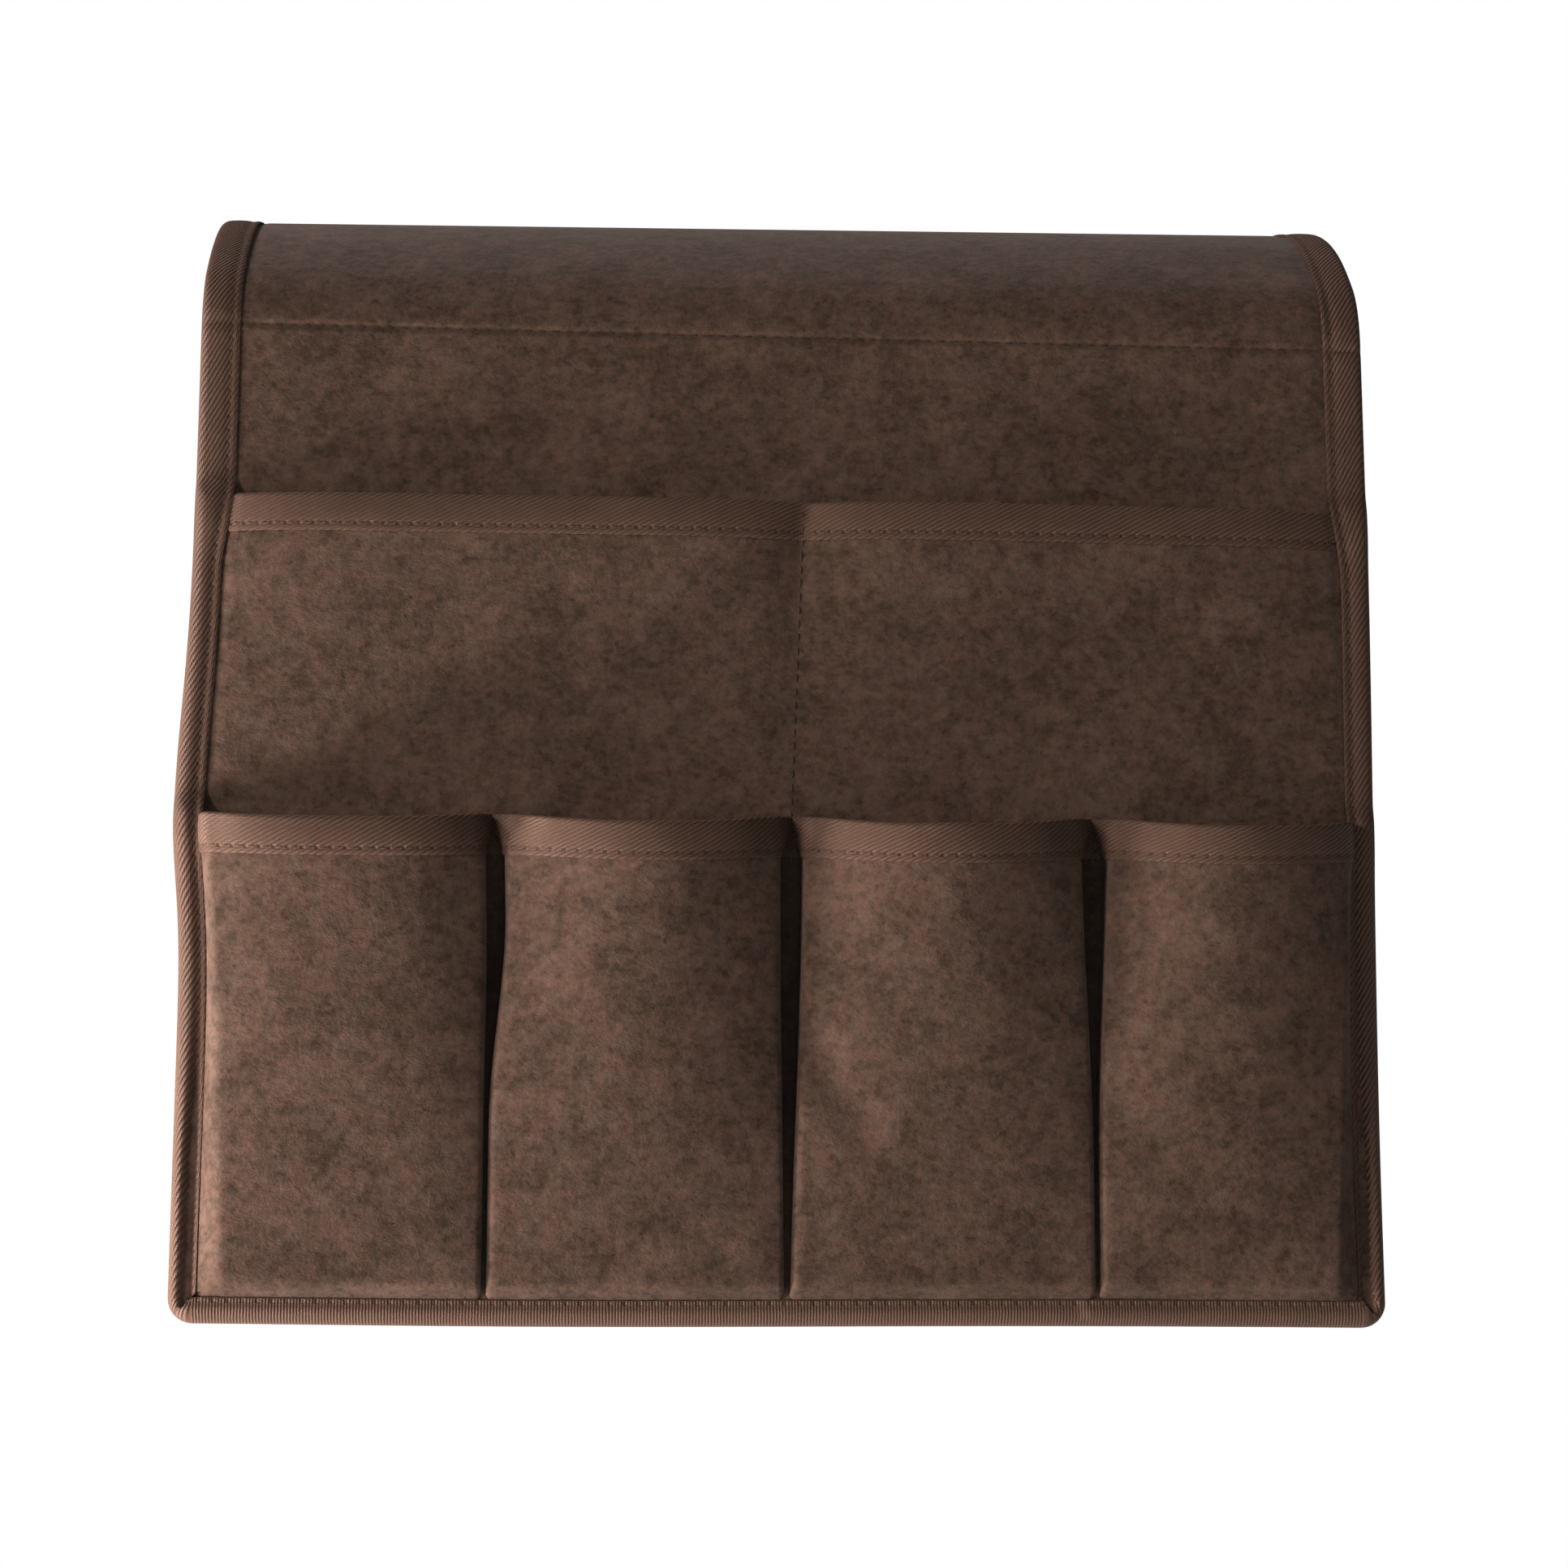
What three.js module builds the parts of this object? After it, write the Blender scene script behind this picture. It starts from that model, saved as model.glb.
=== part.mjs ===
// Sofa armrest organizer: a felt sheet that hangs over an armrest, bound with tape all round.
// Its front flap carries two flat pockets above four pleated ones.
// Millimetres, X to the right, Y to the back, Z up. The origin is under the middle of the top.
import * as THREE from 'three';
import { mergeVertices } from 'three/addons/utils/BufferGeometryUtils.js';

// The whole sheet
const organizerWidth = 340;
const frontFlapLength = 290;
const rearFlapLength = 290;
const flapLean = THREE.MathUtils.degToRad(10);
const hemCornerRadius = 6.4;

// The armrest that it lies on
const seatWidth = 28;
const crownRadius = 160;
const crownAngle = THREE.MathUtils.degToRad(34);
const armEdgeRadius = 26;

// Cloths and thread
const feltThickness = 2;
const liningThickness = 1;
const tapeThickness = 0.7;
const edgeTapeWidth = 20;
const edgeNose = 1.6;
const threadThickness = 0.5;
const stitchInset = 2.4;
// Length over which a layer of felt eases over the edge of the one below
const layerRamp = 8;

// Clearance between neighbouring pieces
const clearance = 0.3;

// Upper pockets, measured down the flap from the fold line
const upperMouthDrop = 53;
const upperTapeDepth = 10;
const upperPocketBulge = 8;
const upperBulgeLength = 84;
const upperSeamHalf = 1.5;
// The middle seams lie a little to the right of the middle of the sheet
const upperSeamPlace = 4;

// Lower pockets
const lowerMouthDrop = 148;
const lowerTapeDepth = 12;
const pleatSpacing = 86;
const middlePleatPlace = 2;
const pleatBaseHalf = 3.4;
const pleatMouthHalf = 5.6;
const pleatHemHalf = 1.4;
const pleatHeight = 9;
const pocketCrown = 8;
const sideGusset = 1;
const sideGussetHem = 5;
// Power of the curve across a pocket: higher is flatter in the middle
const crownFlatness = 2.6;

// Steps along the curves
const crownSteps = 7;
const armEdgeSteps = 7;
const cornerSteps = 5;
const noseSteps = 4;
const faceSteps = 8;
const upperSteps = 8;
const fallSteps = 5;

// Layers of felt in the edge of the flap: bare, with the upper panel, with both pocket sheets
const bareLayers = 1;
const upperLayers = 2;
const lowerLayers = 3;
// Points nearer to each other than this are one point
const mergeTolerance = 1e-4;
// Share of the tape's half thickness at which its folded edge turns in
const mouthShoulder = 0.6;

// Heights above the inner face of the front panel, and places along the flap
const halfGap = clearance / 2;
const panelEdgeInset = edgeNose + clearance;
const upperSheetBase = feltThickness + clearance;
const lowerSheetBase = upperSheetBase + feltThickness + clearance;
const frontHemStart = frontFlapLength - edgeNose - tapeLip(lowerLayers) - clearance;
const armToPanel = liningThickness + clearance;
const panelHalfWidth = organizerWidth / 2 - panelEdgeInset;
const tapeLayer = clearance + tapeThickness;
const pleatSeams = [-1, 0, 1].map((step) => middlePleatPlace + step * pleatSpacing);
const pleatThreadNames = ['pleat_seam_thread_left', 'pleat_seam_thread_center', 'pleat_seam_thread_right'];

const felt = { color: 0x5a463b, roughness: 0.97, metalness: 0 };
const tape = { color: 0x6a4f42, roughness: 0.85, metalness: 0 };
const lining = { color: 0x2b2624, roughness: 0.9, metalness: 0 };
const thread = { color: 0x3a2c26, roughness: 0.8, metalness: 0 };

// Height of a stack of felt layers at the bound edge, with the clearances between them
function stackHeight(layers) {
  return layers * feltThickness + (layers - 1) * clearance;
}

// How far the edge tape reaches in over each face of such a stack
function tapeLip(layers) {
  return (edgeTapeWidth - stackHeight(layers)) / 2;
}

function smoothStep(value) {
  const t = THREE.MathUtils.clamp(value, 0, 1);
  return t * t * (3 - 2 * t);
}

// A closed solid between two grids of points, which share their rims
function sheetSolid(name, look, across, along, outer, inner) {
  const points = [];
  for (const side of [outer, inner]) {
    for (let k = 0; k < across; k += 1) {
      for (let r = 0; r < along; r += 1) points.push(side(k, r));
    }
  }
  const half = across * along;
  const at = (side, k, r) => side * half + k * along + r;
  const faces = [];
  const quad = (a, b, c, d) => faces.push([a, b, c], [a, c, d]);
  for (let k = 0; k < across - 1; k += 1) {
    for (let r = 0; r < along - 1; r += 1) {
      quad(at(0, k, r), at(0, k + 1, r), at(0, k + 1, r + 1), at(0, k, r + 1));
      quad(at(1, k, r), at(1, k, r + 1), at(1, k + 1, r + 1), at(1, k + 1, r));
    }
  }
  for (let r = 0; r < along - 1; r += 1) {
    quad(at(0, 0, r), at(0, 0, r + 1), at(1, 0, r + 1), at(1, 0, r));
    const last = across - 1;
    quad(at(0, last, r + 1), at(0, last, r), at(1, last, r), at(1, last, r + 1));
  }
  for (let k = 0; k < across - 1; k += 1) {
    quad(at(0, k + 1, 0), at(0, k, 0), at(1, k, 0), at(1, k + 1, 0));
    const end = along - 1;
    quad(at(0, k, end), at(0, k + 1, end), at(1, k + 1, end), at(1, k, end));
  }
  return solidMesh(name, look, points, faces);
}

// Merges equal points, drops collapsed faces and turns the faces outwards
function solidMesh(name, look, points, faces) {
  const flat = new THREE.BufferGeometry().setFromPoints(points);
  flat.setIndex(faces.flat());
  const merged = mergeVertices(flat, mergeTolerance);
  const index = merged.getIndex().array;
  const kept = [];
  for (let i = 0; i < index.length; i += 3) {
    const [a, b, c] = [index[i], index[i + 1], index[i + 2]];
    if (a !== b && b !== c && c !== a) kept.push([a, b, c]);
  }
  const place = merged.getAttribute('position');
  const corner = (i) => new THREE.Vector3().fromBufferAttribute(place, i);
  const volume = kept.reduce((sum, [a, b, c]) => sum + corner(a).dot(corner(b).cross(corner(c))), 0);
  const turned = volume < 0 ? kept.map(([a, b, c]) => [a, c, b]) : kept;
  merged.setIndex(turned.flat());
  merged.computeVertexNormals();
  const mesh = new THREE.Mesh(merged, new THREE.MeshStandardMaterial(look));
  mesh.name = name;
  return mesh;
}

// Points of a flap: x across, t down from the fold line, n out from the panel's inner face
function flapPoint(x, t, n) {
  return new THREE.Vector3(x, -n, -t);
}

// The armrest's outline from the front fold line over the top to the rear one, as [y, z, angle]
const foldAngle = Math.PI / 2 - flapLean;
function halfArmOutline() {
  const outline = [[0, 0, 0], [seatWidth / 2, 0, 0]];
  for (let i = 1; i <= crownSteps; i += 1) {
    const a = (crownAngle * i) / crownSteps;
    outline.push([seatWidth / 2 + crownRadius * Math.sin(a), crownRadius * (Math.cos(a) - 1), a]);
  }
  const [y, z] = outline[outline.length - 1];
  const centerY = y - armEdgeRadius * Math.sin(crownAngle);
  const centerZ = z - armEdgeRadius * Math.cos(crownAngle);
  for (let i = 1; i <= armEdgeSteps; i += 1) {
    const a = crownAngle + ((foldAngle - crownAngle) * i) / armEdgeSteps;
    outline.push([centerY + armEdgeRadius * Math.sin(a), centerZ + armEdgeRadius * Math.cos(a), a]);
  }
  return outline;
}
const halfOutline = halfArmOutline();
const armOutline = [
  ...halfOutline.slice(1).reverse().map(([y, z, a]) => ({ y: -y, z, a: -a })),
  ...halfOutline.slice(1).map(([y, z, a]) => ({ y, z, a })),
];
const fold = armOutline[armOutline.length - 1];

// A point over the armrest: station s of its outline, height n above the outline
function armPoint(x, s, n) {
  const { y, z, a } = armOutline[s];
  const shift = s === 0 ? halfGap : s === armOutline.length - 1 ? -halfGap : 0;
  return new THREE.Vector3(
    x,
    y + n * Math.sin(a) + shift * Math.cos(a),
    z + n * Math.cos(a) - shift * Math.sin(a),
  );
}

// Felt and lining over the armrest
function topSheet(name, look, low, high, halfWidth) {
  const sides = [-halfWidth, halfWidth];
  const outer = (k, s) => armPoint(sides[k], s, high);
  const inner = (k, s) => armPoint(sides[k], s, low);
  return sheetSolid(name, look, 2, armOutline.length, outer, inner);
}

// Section of the folded edge tape as pairs of outer and inner points [inset from the edge, height]
function edgeTapeSection(height, lip) {
  const low = -clearance;
  const high = height + clearance;
  const middle = height / 2;
  const section = [{ outer: [edgeNose + lip, low - tapeThickness], inner: [edgeNose + lip, low] }];
  for (let i = 0; i <= noseSteps; i += 1) {
    const a = -Math.PI / 2 + (Math.PI * i) / noseSteps;
    const half = high - middle + tapeThickness;
    const inside = THREE.MathUtils.lerp(low, high, i / noseSteps);
    section.push({
      outer: [edgeNose * (1 - Math.cos(a)), middle + half * Math.sin(a)],
      inner: [edgeNose, inside],
    });
  }
  section.push({ outer: [edgeNose + lip, high + tapeThickness], inner: [edgeNose + lip, high] });
  return section;
}

// Edge tape over the armrest, on the left (-1) or the right (1)
function topBinding(name, side) {
  const section = edgeTapeSection(feltThickness, tapeLip(bareLayers));
  const point = (part) => (k, s) => {
    const [inset, height] = section[k][part];
    return armPoint(side * (organizerWidth / 2 - inset), s, armToPanel + height);
  };
  return sheetSolid(name, tape, section.length, armOutline.length, point('outer'), point('inner'));
}

// Thread as a thin square bar along its centre points, with its width along the given direction
function threadSolid(name, centers, widthways, upward) {
  const r = threadThickness / 2;
  const at = (up) => (k, i) => centers[i].clone()
    .addScaledVector(widthways(i), k === 0 ? -r : r)
    .addScaledVector(upward(i), up * r);
  return sheetSolid(name, thread, 2, centers.length, at(1), at(-1));
}

// Thread along the edge tape over the armrest
function topEdgeThread(name, side) {
  const inset = edgeNose + tapeLip(bareLayers) - stitchInset;
  const height = armToPanel + feltThickness + tapeLayer + clearance + threadThickness / 2;
  const centers = armOutline.map((_, s) => armPoint(side * (organizerWidth / 2 - inset), s, height));
  const sideways = () => new THREE.Vector3(1, 0, 0);
  const out = (s) => new THREE.Vector3(0, Math.sin(armOutline[s].a), Math.cos(armOutline[s].a));
  return threadSolid(name, centers, sideways, out);
}

// Thread of the line sewn across the felt beside a fold, at the first or the last outline station
function foldSeamThread(name, station) {
  const reach = panelHalfWidth - tapeLip(bareLayers) - clearance;
  const { a } = armOutline[station];
  const inward = station === 0 ? 1 : -1;
  const back = new THREE.Vector3(0, inward * Math.cos(a), -inward * Math.sin(a));
  const height = armToPanel + feltThickness + clearance + threadThickness / 2;
  const centers = [-reach, reach]
    .map((x) => armPoint(x, station, height).addScaledVector(back, threadThickness));
  const out = () => new THREE.Vector3(0, Math.sin(a), Math.cos(a));
  return threadSolid(name, centers, () => back, out);
}

// Half the width of a flap's felt at a drop, with the rounded corners of its hem
function halfWidthAt(t, length) {
  const radius = hemCornerRadius - edgeNose;
  const past = t - (length - panelEdgeInset - radius);
  if (past <= 0) return panelHalfWidth;
  return panelHalfWidth - radius + Math.sqrt(Math.max(radius * radius - past * past, 0));
}

// Drops at which a sheet's rounded corners are stepped
function cornerDrops(length) {
  const radius = hemCornerRadius - edgeNose;
  const start = length - panelEdgeInset - radius;
  const drop = (_, i) => start + radius * Math.sin((Math.PI / 2) * (i / cornerSteps));
  return Array.from({ length: cornerSteps + 1 }, drop);
}

// Felt of a flap
function flapPanel(name, length) {
  const drops = [halfGap, ...cornerDrops(length)];
  const point = (n) => (k, r) => {
    const half = halfWidthAt(drops[r], length);
    return flapPoint(k === 0 ? -half : half, drops[r], n);
  };
  return sheetSolid(name, felt, 2, drops.length, point(feltThickness), point(0));
}

// Path of the edge tape round a flap: left side, hem, right side
// Each stop gives the point of the edge, the way in from it, and its place on the flap
function flapEdgePath(length, drops) {
  const half = organizerWidth / 2;
  const radius = hemCornerRadius;
  const left = [halfGap, ...drops, length - radius].map((t) => edgeStop(-half, t, 1, 0));
  const corner = [];
  for (let i = 1; i < cornerSteps; i += 1) {
    const a = (Math.PI / 2) * (i / cornerSteps);
    const x = -half + radius * (1 - Math.cos(a));
    const t = length - radius * (1 - Math.sin(a));
    corner.push(edgeStop(x, t, Math.cos(a), -Math.sin(a), true));
  }
  const hem = edgeStop(-half + radius, length, 0, -1);
  const oneSide = [...left, ...corner, hem];
  const otherSide = oneSide.slice().reverse().map((s) => ({ ...s, x: -s.x, inX: -s.inX, mirrored: true }));
  return [...oneSide, ...otherSide];
}

function edgeStop(x, t, inX, inT, turning = false) {
  return { x, t, inX, inT, turning, mirrored: false };
}

// Moves in from a stop of the edge. Past the corner's radius the two tapes meet in a mitre
function inFromEdge(stop, length, inset) {
  const side = stop.mirrored ? -1 : 1;
  if (stop.turning && inset >= hemCornerRadius) {
    return [side * (inset - organizerWidth / 2), length - inset];
  }
  const x = stop.x + stop.inX * inset;
  const t = stop.t + stop.inT * inset;
  const past = inset - hemCornerRadius;
  if (past <= 0) return [x, t];
  const alongSide = Math.abs(stop.inX) > 0.5;
  return alongSide ? [x, Math.min(t, length - inset)] : [side * (inset - organizerWidth / 2), t];
}

// Edge tape round a flap. The stack of felt in it grows where pocket layers start
function flapBinding(name, length, drops, stackAt) {
  const path = flapEdgePath(length, drops);
  const sections = path.map((stop) => {
    const height = stackAt(stop.t);
    return edgeTapeSection(height, (edgeTapeWidth - height) / 2);
  });
  const point = (part) => (k, i) => {
    const [inset, height] = sections[i][k][part];
    const [x, t] = inFromEdge(path[i], length, inset);
    return flapPoint(x, t, height);
  };
  return sheetSolid(name, tape, sections[0].length, path.length, point('outer'), point('inner'));
}

// Thread along the edge tape round a flap
function flapEdgeThread(name, length, drops, stackAt) {
  const inset = (t) => edgeNose + (edgeTapeWidth - stackAt(t)) / 2 - stitchInset;
  const height = (t) => stackAt(t) + tapeLayer + clearance + threadThickness / 2;
  const stopAt = (sign, place, t, inwardT) => ({
    x: sign * (organizerWidth / 2 - inset(place)),
    t,
    height: height(place),
    inward: [-sign, inwardT],
  });
  const side = (sign) => [
    ...[halfGap, ...drops].map((t) => stopAt(sign, t, t, 0)),
    stopAt(sign, length, length - inset(length), 1),
  ];
  const stops = [...side(-1), ...side(1).reverse()];
  const centers = stops.map((stop) => flapPoint(stop.x, stop.t, stop.height));
  const widthways = (i) => new THREE.Vector3(stops[i].inward[0], 0, stops[i].inward[1]);
  return threadSolid(name, centers, widthways, () => new THREE.Vector3(0, -1, 0));
}

// Layers of felt in the front flap's edge
function frontStack(t) {
  const upper = THREE.MathUtils.clamp((t - upperMouthDrop + layerRamp + tapeLayer) / layerRamp, 0, 1);
  const lower = THREE.MathUtils.clamp((t - lowerMouthDrop + layerRamp + tapeLayer) / layerRamp, 0, 1);
  const mouthTapes = 2 * tapeLayer;
  const layer = feltThickness + clearance;
  return stackHeight(bareLayers) + layer * (upper + lower) + mouthTapes * mouthStack(t);
}

// How much of a mouth tape lies at this drop: none, up its ramp, or all
function tapeAt(t, drop, depth) {
  const before = (t - drop + layerRamp + tapeLayer) / layerRamp;
  const after = (drop + depth + clearance + layerRamp - t) / layerRamp;
  return THREE.MathUtils.clamp(Math.min(before, after), 0, 1);
}

function mouthStack(t) {
  const upper = tapeAt(t, upperMouthDrop, upperTapeDepth);
  return Math.max(upper, tapeAt(t, lowerMouthDrop, lowerTapeDepth));
}

const frontDrops = [
  upperMouthDrop - layerRamp - tapeLayer,
  upperMouthDrop - tapeLayer,
  upperMouthDrop + upperTapeDepth + clearance,
  upperMouthDrop + upperTapeDepth + clearance + layerRamp,
  lowerMouthDrop - layerRamp - tapeLayer,
  lowerMouthDrop - tapeLayer,
  lowerMouthDrop + lowerTapeDepth + clearance,
  lowerMouthDrop + lowerTapeDepth + clearance + layerRamp,
];

// A pocket sheet of felt, from the function that gives its middle surface at station k and drop t
function pocketSheet(name, count, drops, middle) {
  const half = feltThickness / 2;
  const point = (height) => (k, r) => offsetPoint(middle, k, count, drops[r], height);
  return sheetSolid(name, felt, count, drops.length, point(half), point(-half));
}

// A point at a height above the middle surface, with mitred bends so that the thickness stays even
function offsetPoint(middle, k, count, t, height) {
  const here = middle(k, t);
  const before = k > 0 ? middle(k - 1, t) : null;
  const after = k < count - 1 ? middle(k + 1, t) : null;
  const normalOf = (a, b) => new THREE.Vector2(a[1] - b[1], b[0] - a[0]).normalize();
  const first = before ? normalOf(before, here) : normalOf(here, after);
  const second = after ? normalOf(here, after) : first;
  const sum = first.clone().add(second);
  const mitre = sum.multiplyScalar((2 * height) / sum.lengthSq());
  return flapPoint(here[0] + mitre.x, t, here[1] + mitre.y);
}

// Mouth tape folded over the edge of a pocket sheet, as a solid with a U section
function mouthBinding(name, count, drop, depth, middle) {
  const half = feltThickness / 2 + clearance;
  const out = half + tapeThickness;
  const bottom = drop + depth;
  const top = drop - clearance;
  const section = [
    { outer: [out, bottom], inner: [half, bottom] },
    { outer: [out, drop], inner: [half, drop] },
    { outer: [out * mouthShoulder, top - tapeThickness], inner: [half, top] },
    { outer: [-out * mouthShoulder, top - tapeThickness], inner: [-half, top] },
    { outer: [-out, drop], inner: [-half, drop] },
    { outer: [-out, bottom], inner: [-half, bottom] },
  ];
  const point = (part) => (k, i) => {
    const [height, t] = section[k][part];
    return offsetPoint(middle, i, count, t, height);
  };
  return sheetSolid(name, tape, section.length, count, point('outer'), point('inner'));
}

// Thread along a mouth tape, near its lower edge and clear of the edge tapes
function mouthThread(name, count, skipped, drop, middle) {
  const height = feltThickness / 2 + tapeLayer + clearance;
  const r = threadThickness / 2;
  const point = (up) => (k, i) => {
    const t = drop + (k === 0 ? -r : r);
    return offsetPoint(middle, i + skipped, count, t, height + (up + 1) * r);
  };
  return sheetSolid(name, thread, 2, count - 2 * skipped, point(1), point(-1));
}

// Thread of a seam that runs down a pocket sheet at one x
function downThread(name, x, drops, height) {
  const above = feltThickness / 2 + clearance + threadThickness / 2;
  const centers = drops.map((t) => flapPoint(x, t, height(t) + above));
  return threadSolid(name, centers, () => new THREE.Vector3(1, 0, 0), () => new THREE.Vector3(0, -1, 0));
}

// Height of a pocket between its two seams, from 0 at the seams to 1 in the middle
function crownShape(share) {
  return 1 - Math.abs(2 * share - 1) ** crownFlatness;
}

// Upper pocket panel: two low arches between the edges and the middle seam
const upperSewn = panelHalfWidth - tapeLip(upperLayers) - clearance;
const upperStations = 2 * (upperSteps + 1) + 2;
function upperFlat(t) {
  return upperSheetBase + feltThickness / 2 + tapeLayer * tapeAt(t, upperMouthDrop, upperTapeDepth);
}
function upperMiddle(k, t) {
  const half = halfWidthAt(t, frontFlapLength);
  if (k === 0) return [-half, upperFlat(t)];
  if (k === upperStations - 1) return [half, upperFlat(t)];
  const pocket = Math.floor((k - 1) / (upperSteps + 1));
  const share = ((k - 1) % (upperSteps + 1)) / upperSteps;
  const [left, right] = pocket === 0
    ? [-upperSewn, upperSeamPlace - upperSeamHalf]
    : [upperSeamPlace + upperSeamHalf, upperSewn];
  const open = 1 - smoothStep((t - upperMouthDrop) / upperBulgeLength);
  const rise = upperPocketBulge * open * crownShape(share);
  return [THREE.MathUtils.lerp(left, right, share), upperFlat(t) + rise];
}

// Lower pocket strip: between each two seams a gusset, a crowned face and a gusset
const lowerSewn = panelHalfWidth - tapeLip(lowerLayers) - clearance - feltThickness / 2;
const lowerSeams = [-lowerSewn, ...pleatSeams, lowerSewn];
const stationsPerPocket = faceSteps + 3;
const lowerStations = (lowerSeams.length - 1) * stationsPerPocket + 2;
function lowerFlat(t) {
  return lowerSheetBase + feltThickness / 2 + tapeLayer * tapeAt(t, lowerMouthDrop, lowerTapeDepth);
}
function lowerMiddle(k, t) {
  const half = halfWidthAt(t, frontFlapLength);
  if (k === 0) return [-half, lowerFlat(t)];
  if (k === lowerStations - 1) return [half, lowerFlat(t)];
  const open = THREE.MathUtils.clamp((frontHemStart - t) / (frontHemStart - lowerMouthDrop), 0, 1);
  const pocket = Math.floor((k - 1) / stationsPerPocket);
  const step = (k - 1) % stationsPerPocket;
  const start = pocketEnd(pocket, 1, open);
  const end = pocketEnd(pocket + 1, -1, open);
  if (step === 0) return [start.base, lowerFlat(t)];
  if (step === stationsPerPocket - 1) return [end.base, lowerFlat(t)];
  const share = (step - 1) / faceSteps;
  const rise = pleatHeight * open + pocketCrown * open * crownShape(share);
  return [THREE.MathUtils.lerp(start.rim, end.rim, share), lowerFlat(t) + rise];
}

// Where a pocket leaves its seam, and where its face begins, on side 1 or -1 of the seam
function pocketEnd(seam, side, open) {
  const x = lowerSeams[seam];
  const atEdge = seam === 0 || seam === lowerSeams.length - 1;
  const lean = atEdge ? [sideGussetHem, sideGusset] : [pleatHemHalf, pleatMouthHalf];
  const base = atEdge ? 0 : THREE.MathUtils.lerp(pleatHemHalf / 2, pleatBaseHalf, open);
  return { base: x + side * base, rim: x + side * THREE.MathUtils.lerp(lean[0], lean[1], open) };
}

// Drops at which a pocket sheet is stepped: its mouth, the ramp below its tape, its fall and its corners
function sheetDrops(mouth, tapeDepth, bulgeEnd) {
  const tapeEnd = mouth + tapeDepth + clearance;
  const fall = (_, i) => THREE.MathUtils.lerp(tapeEnd + layerRamp, bulgeEnd, i / fallSteps);
  const falls = Array.from({ length: fallSteps + 1 }, fall);
  return [mouth, tapeEnd, ...falls, ...cornerDrops(frontFlapLength)];
}
const upperDrops = sheetDrops(upperMouthDrop, upperTapeDepth, upperMouthDrop + upperBulgeLength);
const lowerDrops = sheetDrops(lowerMouthDrop, lowerTapeDepth, frontHemStart);
const upperThreadDrop = upperMouthDrop + upperTapeDepth - stitchInset;
const lowerThreadDrop = lowerMouthDrop + lowerTapeDepth - stitchInset;
const upperSeamDrops = [upperDrops[1], upperDrops[2], lowerMouthDrop - tapeLayer - clearance];
const pleatSeamDrops = [lowerDrops[1], lowerDrops[2], frontHemStart];

// The part over the armrest
const topPart = new THREE.Group();
topPart.add(
  topSheet('top_panel', felt, armToPanel, armToPanel + feltThickness, panelHalfWidth),
  topSheet('grip_lining', lining, 0, liningThickness, panelHalfWidth - tapeLip(bareLayers) - clearance),
  topBinding('top_binding_left', -1),
  topBinding('top_binding_right', 1),
  topEdgeThread('top_edge_thread_left', -1),
  topEdgeThread('top_edge_thread_right', 1),
  foldSeamThread('front_seam_thread', 0),
  foldSeamThread('rear_seam_thread', armOutline.length - 1),
);

// The front flap, in its own frame at the fold line
const frontFlap = new THREE.Group();
frontFlap.add(
  flapPanel('front_panel', frontFlapLength),
  pocketSheet('upper_pocket_panel', upperStations, upperDrops, upperMiddle),
  mouthBinding('upper_pocket_binding', upperStations, upperMouthDrop, upperTapeDepth, upperMiddle),
  mouthThread('upper_mouth_thread', upperStations, 1, upperThreadDrop, upperMiddle),
  pocketSheet('lower_pocket_panel', lowerStations, lowerDrops, lowerMiddle),
  mouthBinding('lower_pocket_binding', lowerStations, lowerMouthDrop, lowerTapeDepth, lowerMiddle),
  mouthThread('lower_mouth_thread', lowerStations, 2, lowerThreadDrop, lowerMiddle),
  flapBinding('front_edge_binding', frontFlapLength, frontDrops, frontStack),
  flapEdgeThread('front_edge_thread', frontFlapLength, frontDrops, frontStack),
  downThread('center_seam_thread', upperSeamPlace, upperSeamDrops, upperFlat),
  ...pleatSeams.map((x, i) => downThread(pleatThreadNames[i], x, pleatSeamDrops, lowerFlat)),
);

// The rear flap, turned to hang behind the armrest
const rearFlap = new THREE.Group();
const rearStack = () => stackHeight(bareLayers);
rearFlap.add(
  flapPanel('rear_panel', rearFlapLength),
  flapBinding('rear_edge_binding', rearFlapLength, [], rearStack),
  flapEdgeThread('rear_edge_thread', rearFlapLength, [], rearStack),
);

for (const flap of [frontFlap, rearFlap]) {
  flap.rotation.x = -flapLean;
  flap.position.y = -fold.y - armToPanel * Math.sin(foldAngle);
  flap.position.z = fold.z + armToPanel * Math.cos(foldAngle);
}
const rearSide = new THREE.Group();
rearSide.rotation.z = Math.PI;
rearSide.add(rearFlap);

const organizer = new THREE.Group();
organizer.add(topPart, frontFlap, rearSide);
export default organizer;
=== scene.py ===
import math

import bmesh
import bpy
import numpy as np
from mathutils import Matrix, Vector


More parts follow.
